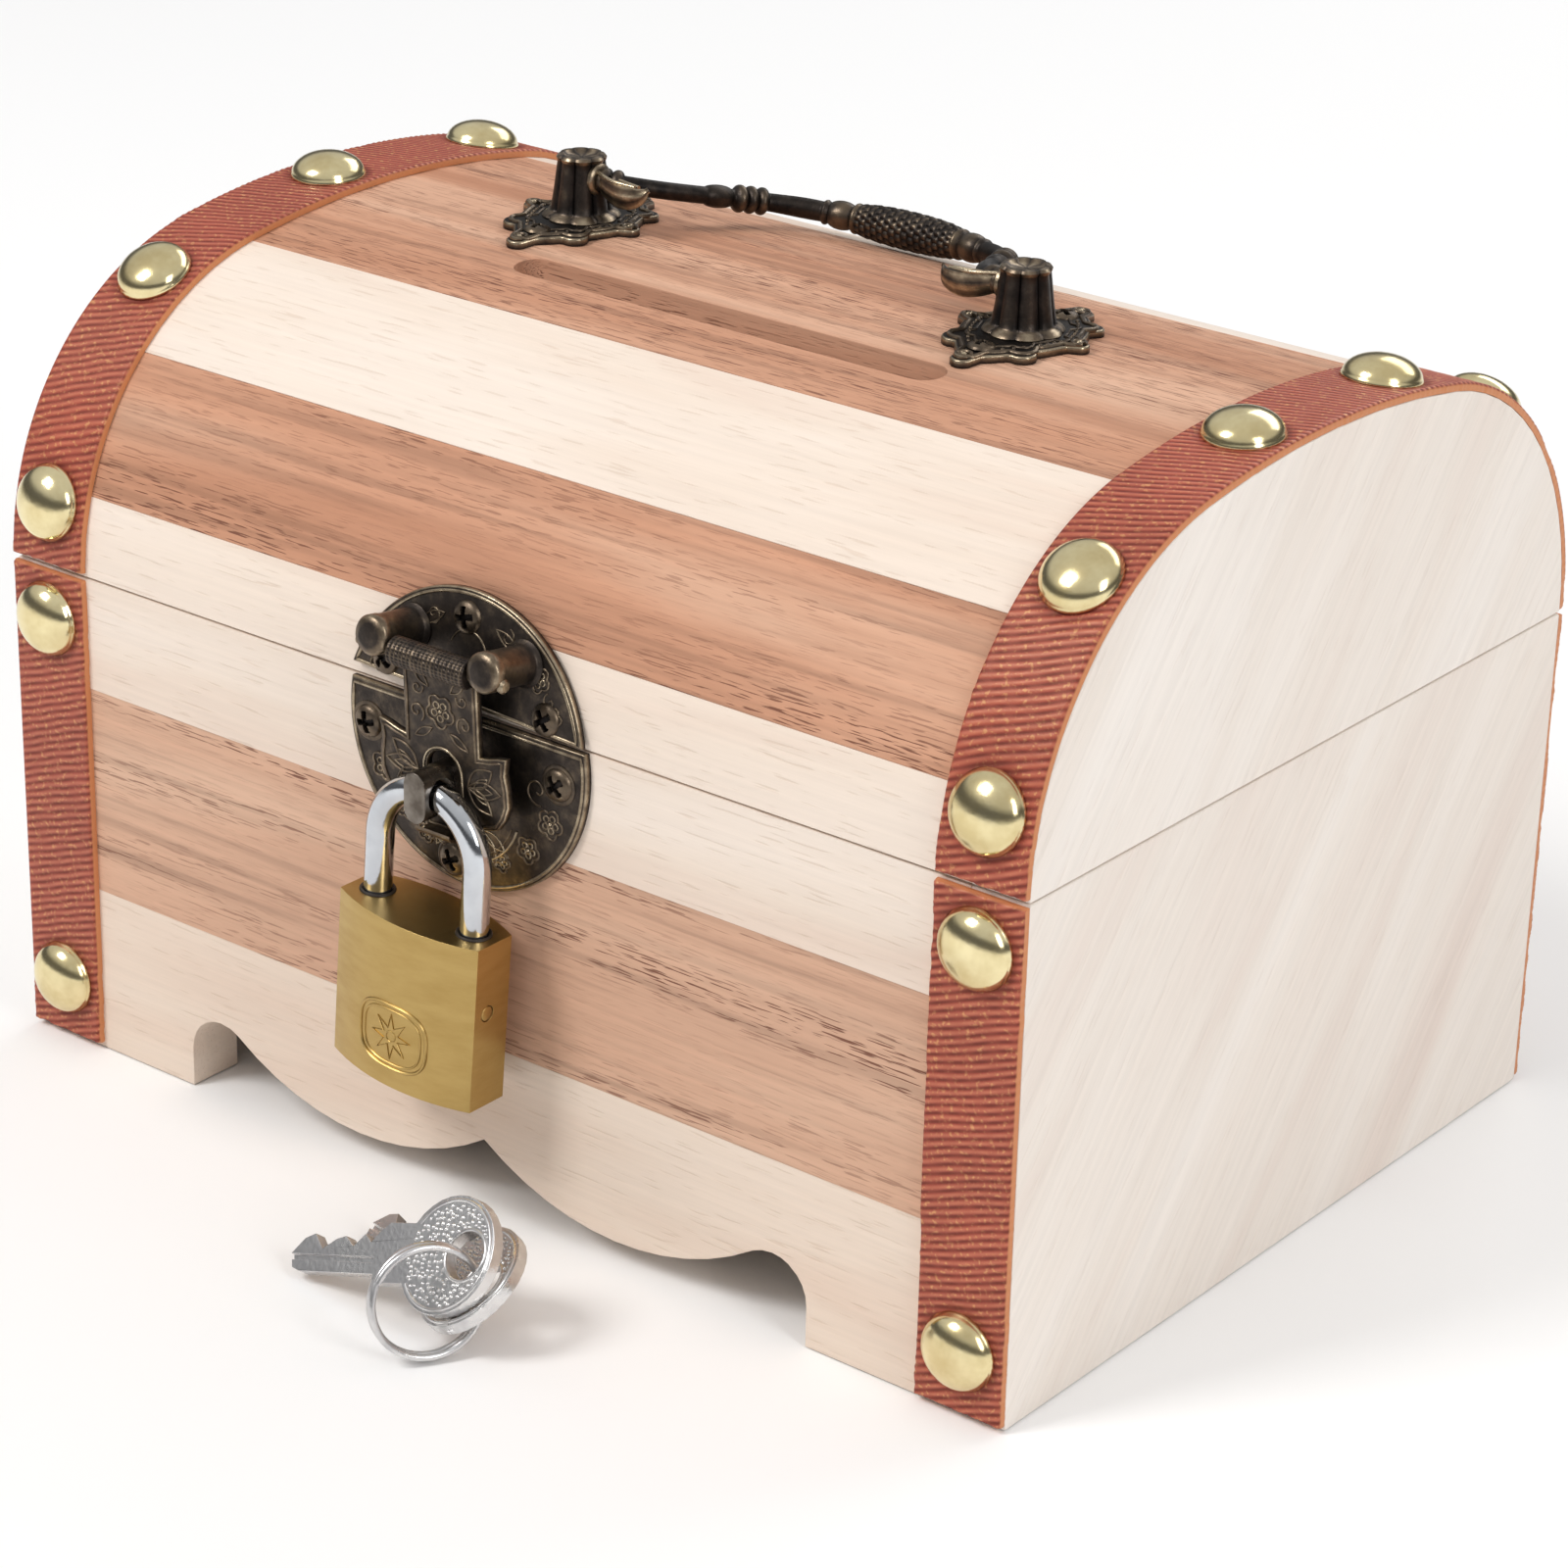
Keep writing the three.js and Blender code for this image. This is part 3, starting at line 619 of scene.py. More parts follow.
def ridge(shape, path, radius, height, to_space, closed=False, relief=0.62, segments=8):
    """A raised line on a surface."""
    line = [to_space(u, v, height) for u, v in path]
    points, faces = sweep(line, radius, segments, closed, hint=(0.31, 0.2, 0.93))
    shape.add(points, faces, relief)


def circle(x, y, radius, start=0, end=360, steps=24):
    turns = np.radians(np.linspace(start, end, steps + 1))
    return [(x + radius * cos(t), y + radius * sin(t)) for t in turns]


def ring_loop(x, y, radius, steps=24):
    return circle(x, y, radius, 0, 360 * (1 - 1 / steps), steps - 1)


def screw(shape, centre, normal, radius=2.4, height=1.0, turn=20, up=(0, 0, 1)):
    """A domed screw head with a cross recess."""
    side, top, outward = basis(normal, up)
    rows, columns = 15, 44
    angles = full_turn(columns)
    points, values = [], []
    for i in range(rows + 1):
        reach = radius * max(0.02, 1 - i / rows)
        for angle in angles:
            u, v = reach * cos(angle), reach * sin(angle)
            spin = math.radians(turn)
            a, b = u * cos(spin) + v * sin(spin), v * cos(spin) - u * sin(spin)
            lift = height * math.sqrt(max(0, 1 - (reach / radius) ** 2))
            arm = radius * 0.6
            inside = min(abs(a), abs(b)) < radius * 0.16 and max(abs(a), abs(b)) < arm
            if inside:
                lift -= height * 0.8
            points.append(np.asarray(centre) + side * u + top * v + outward * lift)
            values.append(0.0 if inside else 0.55)
    faces = grid_faces(rows + 1, columns, wrap_columns=True)
    faces.append(tuple(rows * columns + i for i in range(columns)))
    faces.append(tuple(reversed(range(columns))))
    shape.add(points, faces, values)


# ---- wood

def arch(arc, offset=0.0):
    """A point (y, z) of the lid's outline, by its distance from the front foot, and the way out there."""
    if arc > ARCH_LENGTH / 2:
        (y, z), (ny, nz) = arch(ARCH_LENGTH - arc, offset)
        return (-y, z), (-ny, nz)
    if arc < SIDE_LENGTH:
        rise = arc / SIDE_RADIUS
        normal = (-cos(rise), sin(rise))
        reach = SIDE_RADIUS + offset
        return (-SIDE_Y + normal[0] * reach, SPLIT + normal[1] * reach), normal
    swing = CROWN_TURN - (arc - SIDE_LENGTH) / CROWN_RADIUS
    normal = (-sin(swing), cos(swing))
    reach = CROWN_RADIUS + offset
    return (normal[0] * reach, CROWN_Z + normal[1] * reach), normal


def dress_wood():
    for i, name in enumerate(n for n in sorted(nodes) if n.startswith(("base_", "lid_"))):
        if "strap" in name or "nail" in name:
            continue
        shift = (0.37 * i + 0.1, 2.13 * i, 1.71 * i)
        red = name.endswith(("middle_strip", "stave_2", "stave_4", "stave_6"))
        if name.endswith("middle_strip"):
            material = red_wood(f"wood_{name}", shift, light=0.45, streaks=0.55)
        elif red:
            material = red_wood(f"wood_{name}", shift)
        elif "_end_" in name:
            turn = (math.radians(-52), 0, pi / 2)
            material = pale_wood(f"wood_{name}", shift, turn=turn, warmth=-0.42, bands=0.6, pores=0.06)
        else:
            material = pale_wood(f"wood_{name}", shift, warmth=0.12 if "skirt" in name else 0.0)
        paint(name, material)
        soften(name, 0.35 if "_end_" in name else 0.14)


# ---- straps and nails

NAIL_ARCS = {-1: [9.7, 46.5, 83.2, 117.3, 144, 169.2], 1: [10.3, 41.4, 77.8, 111.3, 141, 169]}
REAR_NAILS = {"left": [10.2, 66.8], "right": [9.4, 67.9]}
STRAP_THICKNESS = 1.1
STRAP_END = 0.6
BASE_STRAP = 74.2
BASE_STRAP_FOOT = 0.5
EDGE_STEPS = np.array([0, 0, 0.12, 0.35])
EDGE_RISE = np.array([0, 0.72, 0.92, 1.0])
NAIL_SEAT = 1.2
NAIL_DOME = 3.15
REAR_DOME = 2.2


def strap(name, sign, length, at, nails, replaced, body, seed):
    """A strip of embossed leather. at(distance) gives (y, z) on the wood and the outward direction."""
    rng = np.random.default_rng(seed)
    step = 0.25
    rows = int(length / step)
    middle = np.arange(0.65, STRAP_WIDTH - 0.6, step)
    across = np.concatenate([EDGE_STEPS, middle, STRAP_WIDTH - EDGE_STEPS[::-1]])
    raise_edge = np.concatenate([EDGE_RISE, np.ones(len(middle)), EDGE_RISE[::-1]])
    low_wave = np.cumsum(rng.normal(0, 0.06, (rows + 1, 2)), axis=0)
    low_wave -= np.linspace(0, 1, rows + 1)[:, None] * low_wave[-1]
    low_wave = np.clip(low_wave, -0.22, 0.22)
    fray = np.convolve(rng.normal(0, 0.5, len(across) + 6), np.ones(7) / 7, "valid")
    points, relief, edges = [], [], []
    for i in range(rows + 1):
        for j, u in enumerate(across):
            share = i / rows
            distance = share * length
            if share < 0.05:
                distance += (1 - share / 0.05) * (0.15 + 0.5 * abs(fray[j]))
            (y, z), (ny, nz) = at(distance)
            half_turn = (u / STRAP_WIDTH - 0.5) * 2
            shift = low_wave[i, 0] * max(0, -half_turn) + low_wave[i, 1] * max(0, half_turn)
            x = u + shift * 0.6
            drift = 0.12 * sin(0.23 * distance + 0.3 * u + seed)
            drift += 0.05 * sin(0.9 * distance - 0.7 * u)
            wave = sin(2 * pi * (distance * 0.94 - sign * u * 0.34 + drift) / 1.15)
            cross = sin(2 * pi * (distance * 0.36 + u * 0.93) / 3.7 + 9 * drift)
            ribs = 0.5 + 0.5 * wave * (0.82 + 0.18 * cross)
            near = min((math.hypot(distance - s, u - STRAP_WIDTH / 2) for s in nails), default=99)
            dent = max(0, 1 - max(0, near - 5.4) / 1.6)
            pressed = 0.13 * ribs if raise_edge[j] > 0.95 else 0
            height = STRAP_THICKNESS * raise_edge[j] + pressed - 0.16 * dent
            height *= 0.55 if i in (0, rows) else 1
            lateral = sign * (STRAP_X - STRAP_WIDTH / 2 + x)
            limit = HALF_X - 0.02
            points.append((max(-limit, min(limit, lateral)), y + ny * height, z + nz * height))
            relief.append(ribs * (1 - 0.6 * dent))
            edges.append(1.0 if raise_edge[j] < 0.9 or i in (0, rows) else 0.0)
    columns = len(across)
    faces = grid_faces(rows + 1, columns)
    for i in range(rows):
        following = (i + 1) * columns
        faces.append((i * columns, following, following + columns - 1, following - 1))
    faces.append(tuple(range(columns)))
    faces.append(tuple(reversed([rows * columns + j for j in range(columns)])))
    shape = Shape().add(points, faces, relief, edges)
    shape.build(name, leather, body, "strap_leather", replaced, smooth=80)


def nail(name, centre, normal, body, replaced=(), height=NAIL_DOME):
    profile = [(5.2, -0.35), (5.62, -0.2), (5.65, 0.12), (5.5, 0.32)]
    for turn in np.linspace(0.16, pi / 2 * 0.985, 9):
        profile.append((5.5 * cos(turn), 0.1 + height * sin(turn)))
    shape = Shape().turn(centre, normal, profile, 48)
    shape.build(name, brass, body, "nail_brass", replaced, smooth=50)


def add_straps():
    for side, sign in (("left", -1), ("right", 1)):
        start, end = STRAP_END, ARCH_LENGTH - STRAP_END
        arcs = NAIL_ARCS[sign]
        strap(
            f"lid_strap_{side}_leather", sign, end - start, lambda s: arch(s + start),
            [a - start for a in arcs], (f"lid_strap_{side}",), "lid", 11 + sign,
        )
        for i, arc in enumerate(arcs):
            (y, z), (ny, nz) = arch(arc, NAIL_SEAT)
            replaced = (f"lid_nail_{side}_{i + 1}",) if i < 4 else ()
            nail(f"lid_nail_{side}_{i + 1}_head", (sign * STRAP_X, y, z), (0, ny, nz), "lid", replaced)
        for face, facing in (("front", -1), ("rear", 1)):
            heights = REAR_NAILS[side]
            if face == "front":
                heights = [node_centre(f"base_nail_{side}_{i}")[2] for i in (1, 2)]
            strap(
                f"base_strap_{face}_{side}_leather", sign, BASE_STRAP,
                lambda s, facing=facing: ((facing * HALF_Y, BASE_STRAP_FOOT + s), (facing, 0)),
                [h - BASE_STRAP_FOOT for h in heights], (f"base_strap_{face}_{side}",),
                "base", 30 + sign + 5 * facing,
            )
            for i, height in enumerate(heights):
                replaced = (f"base_nail_{side}_{i + 1}",) if face == "front" else ()
                centre = (sign * STRAP_X, facing * (HALF_Y + NAIL_SEAT), height)
                dome = NAIL_DOME if face == "front" else REAR_DOME
                nail(f"base_nail_{face}_{side}_{i + 1}_head", centre, (0, facing, 0), "base", replaced, dome)


# ---- handle

HANDLE_X, HANDLE_Y, PIVOT_Z = joint_at("handle_swing")
HANDLE_SPAN = (node_centre("handle_post_right")[0] - node_centre("handle_post_left")[0]) / 2
CROWN_TOP = CROWN_Z + CROWN_RADIUS
PLATE_LIFT = 0.05
BAIL_DROP = math.radians(13.2)
BAIL_SIDES = 56
SCALE_ROW = 1.15
SCALED_HALF = 8.8


def lozenge_reach(turn):
    return ((abs(cos(turn)) / 9) ** 1.4 + (abs(sin(turn)) / 13.6) ** 1.4) ** (-1 / 1.4)


def lozenge(scale=1.0, points=120):
    """A lozenge with a round lobe at each corner and a small scroll in the middle of each side."""
    lobes = [(9.2, 0, 1.5), (-9.2, 0, 1.5), (0, 13.6, 1.9), (0, -13.6, 1.9)]
    lobes += [(sx * 5.6, sy * 7.8, 2.0) for sx in (-1, 1) for sy in (-1, 1)]
    outline = []
    for turn in full_turn(points):
        c, s = cos(turn), sin(turn)
        reach = lozenge_reach(turn)
        for x, y, radius in lobes:
            along, off = x * c + y * s, y * c - x * s
            if along > 0 and abs(off) < radius:
                reach = max(reach, along + math.sqrt(radius * radius - off * off))
        outline.append((c * reach * scale, s * reach * scale))
    return outline


def handle_post(side, sign):
    centre_x = HANDLE_X + sign * HANDLE_SPAN

    def on_lid(u, v, w):
        y = HANDLE_Y + v
        rest = CROWN_Z + math.sqrt(CROWN_RADIUS ** 2 - y * y) + PLATE_LIFT
        return np.array([centre_x + u, y, rest + w])

    shape = Shape()
    slab(shape, [lozenge()], 0.0, 1.1, 0.35, on_lid, face=0.05)
    ridge(shape, lozenge(0.9), 0.42, 1.05, on_lid, closed=True, relief=0.6)
    ridge(shape, lozenge(0.7), 0.24, 1.1, on_lid, closed=True, relief=0.45)
    for turn in full_turn(40):
        reach = 0.8 * lozenge_reach(turn)
        centre = on_lid(cos(turn) * reach, sin(turn) * reach, 1.05)
        shape.turn(centre, (0, 0, 1), dome_profile(0.34, 0.32, 4, 0.1), 8, 0.5)
    for x, y, radius in ((9.2, 0, 1.2), (-9.2, 0, 1.2), (0, 13.6, 1.45), (0, -13.6, 1.45)):
        ridge(shape, circle(x, y, radius * 0.75, 0, 330, 16), 0.36, 1.2, on_lid)
        shape.turn(on_lid(x, y, 1.1), (0, 0, 1), dome_profile(0.5, 0.5, 5, 0.1), 12, 1.0)
    for y in (-9.6, 9.6):
        screw(shape, on_lid(0, y, 1.1), (0, -y / CROWN_RADIUS, 1), 2.0, 0.85, turn=30 + 3 * y, up=(0, 1, 0))
    profile = [
        (5.6, 0.9), (5.75, 1.25), (5.4, 1.7), (4.75, 1.95), (4.45, 2.3), (4.3, 3.4),
        (4.05, 5.0), (3.82, 6.8), (3.62, 8.4), (3.5, 9.3), (3.62, 9.55), (3.68, 9.9),
        (3.4, 10.25), (2.7, 10.3), (2.3, 9.9), (0.4, 9.75),
    ]

    def fluted(angles, height):
        depth = 0.15 if 1.9 < height < 9.6 else 0.09 if height < 10.28 else 0.0
        return 1 - depth + depth * np.sqrt(np.abs(np.cos(4 * angles)))

    centre = on_lid(0, 0, 0)
    centre[2] = CROWN_TOP + PLATE_LIFT
    angles = full_turn(96)
    points, faces, _ = lathe(centre, (0, 0, 1), profile, 96, fluted)
    values = []
    for _, height in profile:
        rib = np.abs(np.cos(4 * angles))
        lift = 0.45 if height > 9.4 or height < 2 else 0.02
        values.extend(np.clip(lift + 0.4 * (rib - 0.3), 0, 1))
    shape.add(points, faces, values)
    boss = (centre_x - sign * 3.0, HANDLE_Y, PIVOT_Z)
    shape.turn(boss, (-sign, 0, 0), [(2.35, 0), (2.4, 0.5), (2.1, 0.85), (1.5, 0.9)], 24, 0.7)
    shape.build_bronze(f"handle_post_{side}_cast", "lid", f"handle_post_{side}", 45)


def bail_frame(points):
    """From the bail's own plane (pivots on its first axis, grip at its second) to the box frame."""
    x, y, z = np.asarray(points, float).T
    y, z = leaned(y, z, BAIL_DROP, HANDLE_Y, PIVOT_Z)
    return np.stack([HANDLE_X + x, y, z], 1)


def add_bail():
    half = [
        (0, 28), (8, 27.6), (15.5, 25.6), (21, 21.6), (24.2, 16),
        (26.4, 10), (29.5, 4.6), (34, 0.7), (38.6, 0),
    ]
    flat = [(-x, y, 0) for x, y in reversed(half[1:])] + [(x, y, 0) for x, y in half]
    path = catmull(flat, 26)
    steps = np.linalg.norm(np.diff(path, axis=0), axis=1)
    along = np.concatenate([[0], np.cumsum(steps)])
    along -= along[-1] / 2
    even = np.linspace(along[0], along[-1], 460)
    path = np.stack([np.interp(even, along, path[:, k]) for k in range(3)], 1)
    distance = np.abs(even)
    radii = np.full(len(even), 1.28)
    radii += 0.25 * np.exp(-((distance - 17) / 5) ** 2)

    def bead(at, width, size):
        swell = np.sqrt(np.clip(1 - ((distance - at) / width) ** 2, 0, 1))
        np.maximum(radii, 1.0 + (size - 1.0) * swell, out=radii)

    grip = distance < 9
    radii[grip] = 1.9 + 0.95 * np.sqrt(1 - (distance[grip] / 9.4) ** 2)
    bead(9.4, 0.7, 2.3)
    bead(11.9, 2.2, 2.15)
    bead(14.4, 0.6, 1.85)
    for at in (24.2, 26.0, 27.8):
        bead(at, 0.95, 2.05)
    bead(31.5, 2.4, 1.7)
    for at in (47.2, 49.0):
        bead(at, 0.95, 1.95)
    total = along[-1] - along[0]

    def scales(share, angles):
        s = (share - 0.5) * total
        if abs(s) > SCALED_HALF:
            return np.ones(len(angles))
        row = s / SCALE_ROW
        stagger = pi / 14 * (math.floor(row) % 2)
        tile = np.abs(np.cos(7 * (angles + stagger)))
        return 0.9 + 0.13 * np.sqrt(tile) * (0.55 + 0.45 * math.sqrt(row - math.floor(row)))

    points, faces = sweep(bail_frame(path), radii, BAIL_SIDES, bumps=scales)
    values = np.repeat(np.clip((radii - 1.3) * 0.5 + 0.1, 0, 0.6), BAIL_SIDES)
    s_all = np.repeat(even, BAIL_SIDES)
    angle_all = np.tile(full_turn(BAIL_SIDES), len(even))
    on_grip = np.abs(s_all) < SCALED_HALF
    rows = s_all / SCALE_ROW
    tiles = np.abs(np.cos(7 * (angle_all + pi / 14 * (np.floor(rows) % 2)))) * (rows - np.floor(rows))
    values = np.where(on_grip, 0.08 + 0.6 * tiles, values)
    shape = Shape().add(points, faces, values)
    for sign in (-1, 1):
        leaf = catmull([(sign * x, y, z) for x, y, z in (
            (37, -0.4, 0.2), (34, -1.0, -0.6), (30.5, -1.6, -1.3), (27.6, -1.6, -0.9), (26.2, -0.9, 0.4),
        )], 14)
        share = np.linspace(0, 1, len(leaf))
        width = 0.5 + 1.6 * np.sin(np.pi * np.clip(share * 1.05, 0, 1)) ** 0.8
        points, faces = sweep(
            bail_frame(leaf), width, 24, hint=(0, 1, 0.2), flatten=0.42,
            bumps=lambda _, angles: 1 - 0.12 * np.abs(np.cos(3 * angles)),
        )
        ribbing = 0.25 + 0.6 * np.abs(np.sin(np.linspace(0, 6 * pi, 24)))
        shape.add(points, faces, np.tile(ribbing, len(leaf)))
        for y in (-1.9, 1.9):
            vein = catmull([
                (sign * 36, y * 0.3 - 0.5, 1.2), (sign * 32, y * 0.6 - 1.2, 0.6),
                (sign * 28, y * 0.25 - 1.4, 0.4),
            ], 8)
            shape.add(*sweep(bail_frame(vein), 0.3, 8), 0.95)
    shape.build_bronze("handle_bail_cast", "handle", "handle_bail", 55)


# ---- hasp and its plates

LATCH_X, PIN_Y, PIN_Z = joint_at("hasp_swing")
plate_low, plate_high = node_box("latch_lower_plate")
PLATE_R = (plate_high[0] - plate_low[0]) / 2
PLATE_X = plate_low[0] + PLATE_R
PLATE_Z = plate_low[2] + PLATE_R
LEAN = math.radians(8)
FLAP_LEAN = -math.radians(3)
FLAP_FRONT = 1.1
DOORWAY_Z = -16.35
TOUCH_Y = -SIDE_Y - SIDE_RADIUS * cos(LEAN)
TOUCH_Z = SPLIT + SIDE_RADIUS * sin(LEAN)


def on_base(u, v, w):
    return np.array([u, -HALF_Y - w, v])


def on_lid_front(u, v, w):
    return np.array([u, *leaned(-0.3 - w, v - TOUCH_Z, LEAN, TOUCH_Y, TOUCH_Z)])


def flower(shape, x, z, size, height, to_space, petals=5, turn=0.0):
    outline = []
    for angle in full_turn(petals * 10):
        reach = size * (0.72 + 0.28 * abs(cos(petals / 2 * (angle + turn))))
        outline.append((x + reach * cos(angle), z + reach * sin(angle)))
    ridge(shape, outline, 0.17, height, to_space, closed=True)
    for k in range(petals):
        angle = 2 * pi * k / petals - turn
        spot = (x + 0.42 * size * cos(angle), z + 0.42 * size * sin(angle))
        petal = ring_loop(*spot, 0.2 * size, 10)
        ridge(shape, petal, 0.12, height, to_space, closed=True, relief=0.8, segments=6)
    outward = to_space(0, 0, 1) - to_space(0, 0, 0)
    shape.turn(to_space(x, z, height - 0.05), outward, dome_profile(0.3, 0.3, 4, 0), 10, 1.0)


def curl(x, z, size, start, turns, direction=1, steps=26):
    """A scroll that winds outwards from its centre."""
    points = []
    for share in np.linspace(0.12, 1, steps):
        angle = math.radians(start) + direction * share * turns * 2 * pi
        points.append((x + size * share * cos(angle), z + size * share * sin(angle)))
    return points


def leaf_line(x, z, length, width, heading, steps=14):
    """A pointed leaf outline."""
    c, s = cos(math.radians(heading)), sin(math.radians(heading))
    points = []
    for share in np.linspace(0, 2, 2 * steps, endpoint=False):
        along = share if share <= 1 else 2 - share
        off = width / 2 * sin(pi * along) * (1 if share <= 1 else -1)
        points.append((x + c * along * length - s * off, z + s * along * length + c * off))
    return points


def leaf(shape, to_space, x, z, length, width, heading, wire, height, relief=0.62):
    ridge(shape, leaf_line(x, z, length, width, heading), wire, height, to_space, closed=True, relief=relief)


def disc_part(lower):
    """The part of the round plate below or above its cut line."""
    left_z, right_z = (75.0, 75.0) if lower else (77.2, 75.7)
    turns = [math.asin((z - PLATE_Z) / PLATE_R) for z in (left_z, right_z)]
    if lower:
        start, end = pi - turns[0], 2 * pi + turns[1]
    else:
        start, end = turns[1], pi - turns[0]
    return lambda inset_by, steps=72: [
        (PLATE_X + (PLATE_R - inset_by) * cos(t), PLATE_Z + (PLATE_R - inset_by) * sin(t))
        for t in np.linspace(start + inset_by / PLATE_R * 0.95, end - inset_by / PLATE_R * 0.95, steps)
    ]


def add_lower_plate():
    shape = Shape()
    part = disc_part(True)
    slab(shape, [part(0)], 0.0, 1.0, 0.35, on_base, face=0.34)
    ridge(shape, part(0.7), 0.28, 0.92, on_base, closed=True, relief=0.8)
    for x, z, size in ((-17.0, 63.3, 2.2), (13.0, 63.3, 2.2), (9.1, 58.4, 2.0), (-13.1, 58.4, 2.0)):
        flower(shape, x, z, size, 1.02, on_base, turn=0.3 * x)
    flower(shape, -9.2, 55.6, 1.5, 1.02, on_base)
    flower(shape, 4.4, 55.2, 1.5, 1.02, on_base)
    ridge(shape, circle(PLATE_X, 63.5, 9.6, 198, 342, 40), 0.2, 1.0, on_base, relief=0.85)
    ridge(shape, circle(PLATE_X, 63.5, 8.7, 200, 340, 40), 0.12, 1.0, on_base, relief=0.6)
    for sign in (-1, 1):
        for heading, reach in ((-62, 5.2), (-100, 4.6), (-28, 4.4)):
            angle = heading if sign > 0 else 180 - heading
            leaf(shape, on_base, PLATE_X + sign * 3.0, 59.0, reach, 1.7, angle, 0.14, 1.0, 0.9)
        ridge(shape, curl(PLATE_X + sign * 12.8, 67.6, 2.2, 90 + 90 * sign, 1.3, sign), 0.15, 1.0, on_base)
        ridge(shape, curl(PLATE_X + sign * 6.2, 55.6, 1.5, 90, 1.2, -sign), 0.13, 1.0, on_base)
    for x, z, turn in ((-19.6, 69.2, 10), (14.5, 69.5, 40), (-4.2, 53.2, 25)):
        collar = [(2.9, 0), (2.9, 0.2), (2.6, 0.3), (2.3, 0.25)]
        shape.turn(on_base(x, z, 0.9), (0, -1, 0), collar, 32, 0.5)
        screw(shape, on_base(x, z, 1.1), (0, -1, 0), 2.4, 1.05, turn)
    shape.build_bronze("latch_lower_plate_engraved", "base", "latch_lower_plate")


def add_upper_plate():
    shape = Shape()
    part = disc_part(False)
    outward = on_lid_front(0, 0, 1) - on_lid_front(0, 0, 0)
    post = [
        (3.3, 0), (3.3, 0.35), (2.85, 0.7), (2.7, 1.0), (2.7, 6.9),
        (2.82, 7.1), (2.82, 8.3), (2.5, 8.75), (1.6, 9.0), (0.05, 9.05),
    ]
    slab(shape, [part(0)], 0.0, 1.0, 0.35, on_lid_front, face=0.3)
    ridge(shape, part(0.7), 0.28, 0.92, on_lid_front, closed=True, relief=0.8)
    for sign in (-1, 1):
        flower(shape, PLATE_X + sign * 12.6, 83.2, 1.9, 1.02, on_lid_front, turn=0.4)
        flower(shape, PLATE_X + sign * 15.6, 78.6, 1.5, 1.02, on_lid_front)
        leaf(shape, on_lid_front, PLATE_X + sign * 4.6, 88.0, 4.6, 1.5, 90 - sign * 118, 0.14, 1.0)
        ridge(shape, curl(PLATE_X + sign * 6.6, 87.4, 1.3, 0, 1.2, sign), 0.13, 1.0, on_lid_front)
        ridge(shape, curl(PLATE_X + sign * 14.8, 80.6, 1.2, 180, 1.2, -sign), 0.13, 1.0, on_lid_front)
        foot = on_lid_front(PLATE_X + sign * 9.95, PIN_Z + 0.2, 0.9)
        points, faces, values = lathe(
            foot, outward, post, 40, relief=lambda r, h: 0.3 if h < 6.8 or r < 2.4 else 0.7,
        )
        shape.add(points, faces, values)
    ridge(shape, circle(PLATE_X, 83.5, 3.2, 20, 160, 18), 0.14, 1.0, on_lid_front, relief=0.7)
    for x, z, turn in ((-2.6, 88.4, 15), (12.4, 78.1, 35), (-16.2, 79.2, 50)):
        screw(shape, on_lid_front(x, z, 1.0), outward, 2.35, 1.0, turn)
    shape.build_bronze("latch_upper_plate_engraved", "lid", "latch_upper_plate")
    profile = [(0.8, 0), (0.8, 25.2), (1.0, 25.4), (1.02, 25.8), (0.7, 26.15), (0.05, 26.2)]
    pin = Shape().turn((PLATE_X - 13.1, PIN_Y, PIN_Z), (1, 0, 0), profile, 24, 0.8)
    pin.build_bronze("latch_pin_rod", "lid", "latch_pin", 40)


def on_flap(u, v, w):
    return np.array([LATCH_X + u, *leaned(FLAP_FRONT - w, v, FLAP_LEAN, PIN_Y, PIN_Z)])


def doorway(radius, foot, steps):
    """An opening's outline with a round top, open at its foot."""
    turns = np.linspace(0, pi, steps)
    top = [(radius * cos(t), DOORWAY_Z + radius * sin(t)) for t in turns]
    return [(radius, foot)] + top + [(-radius, foot)]


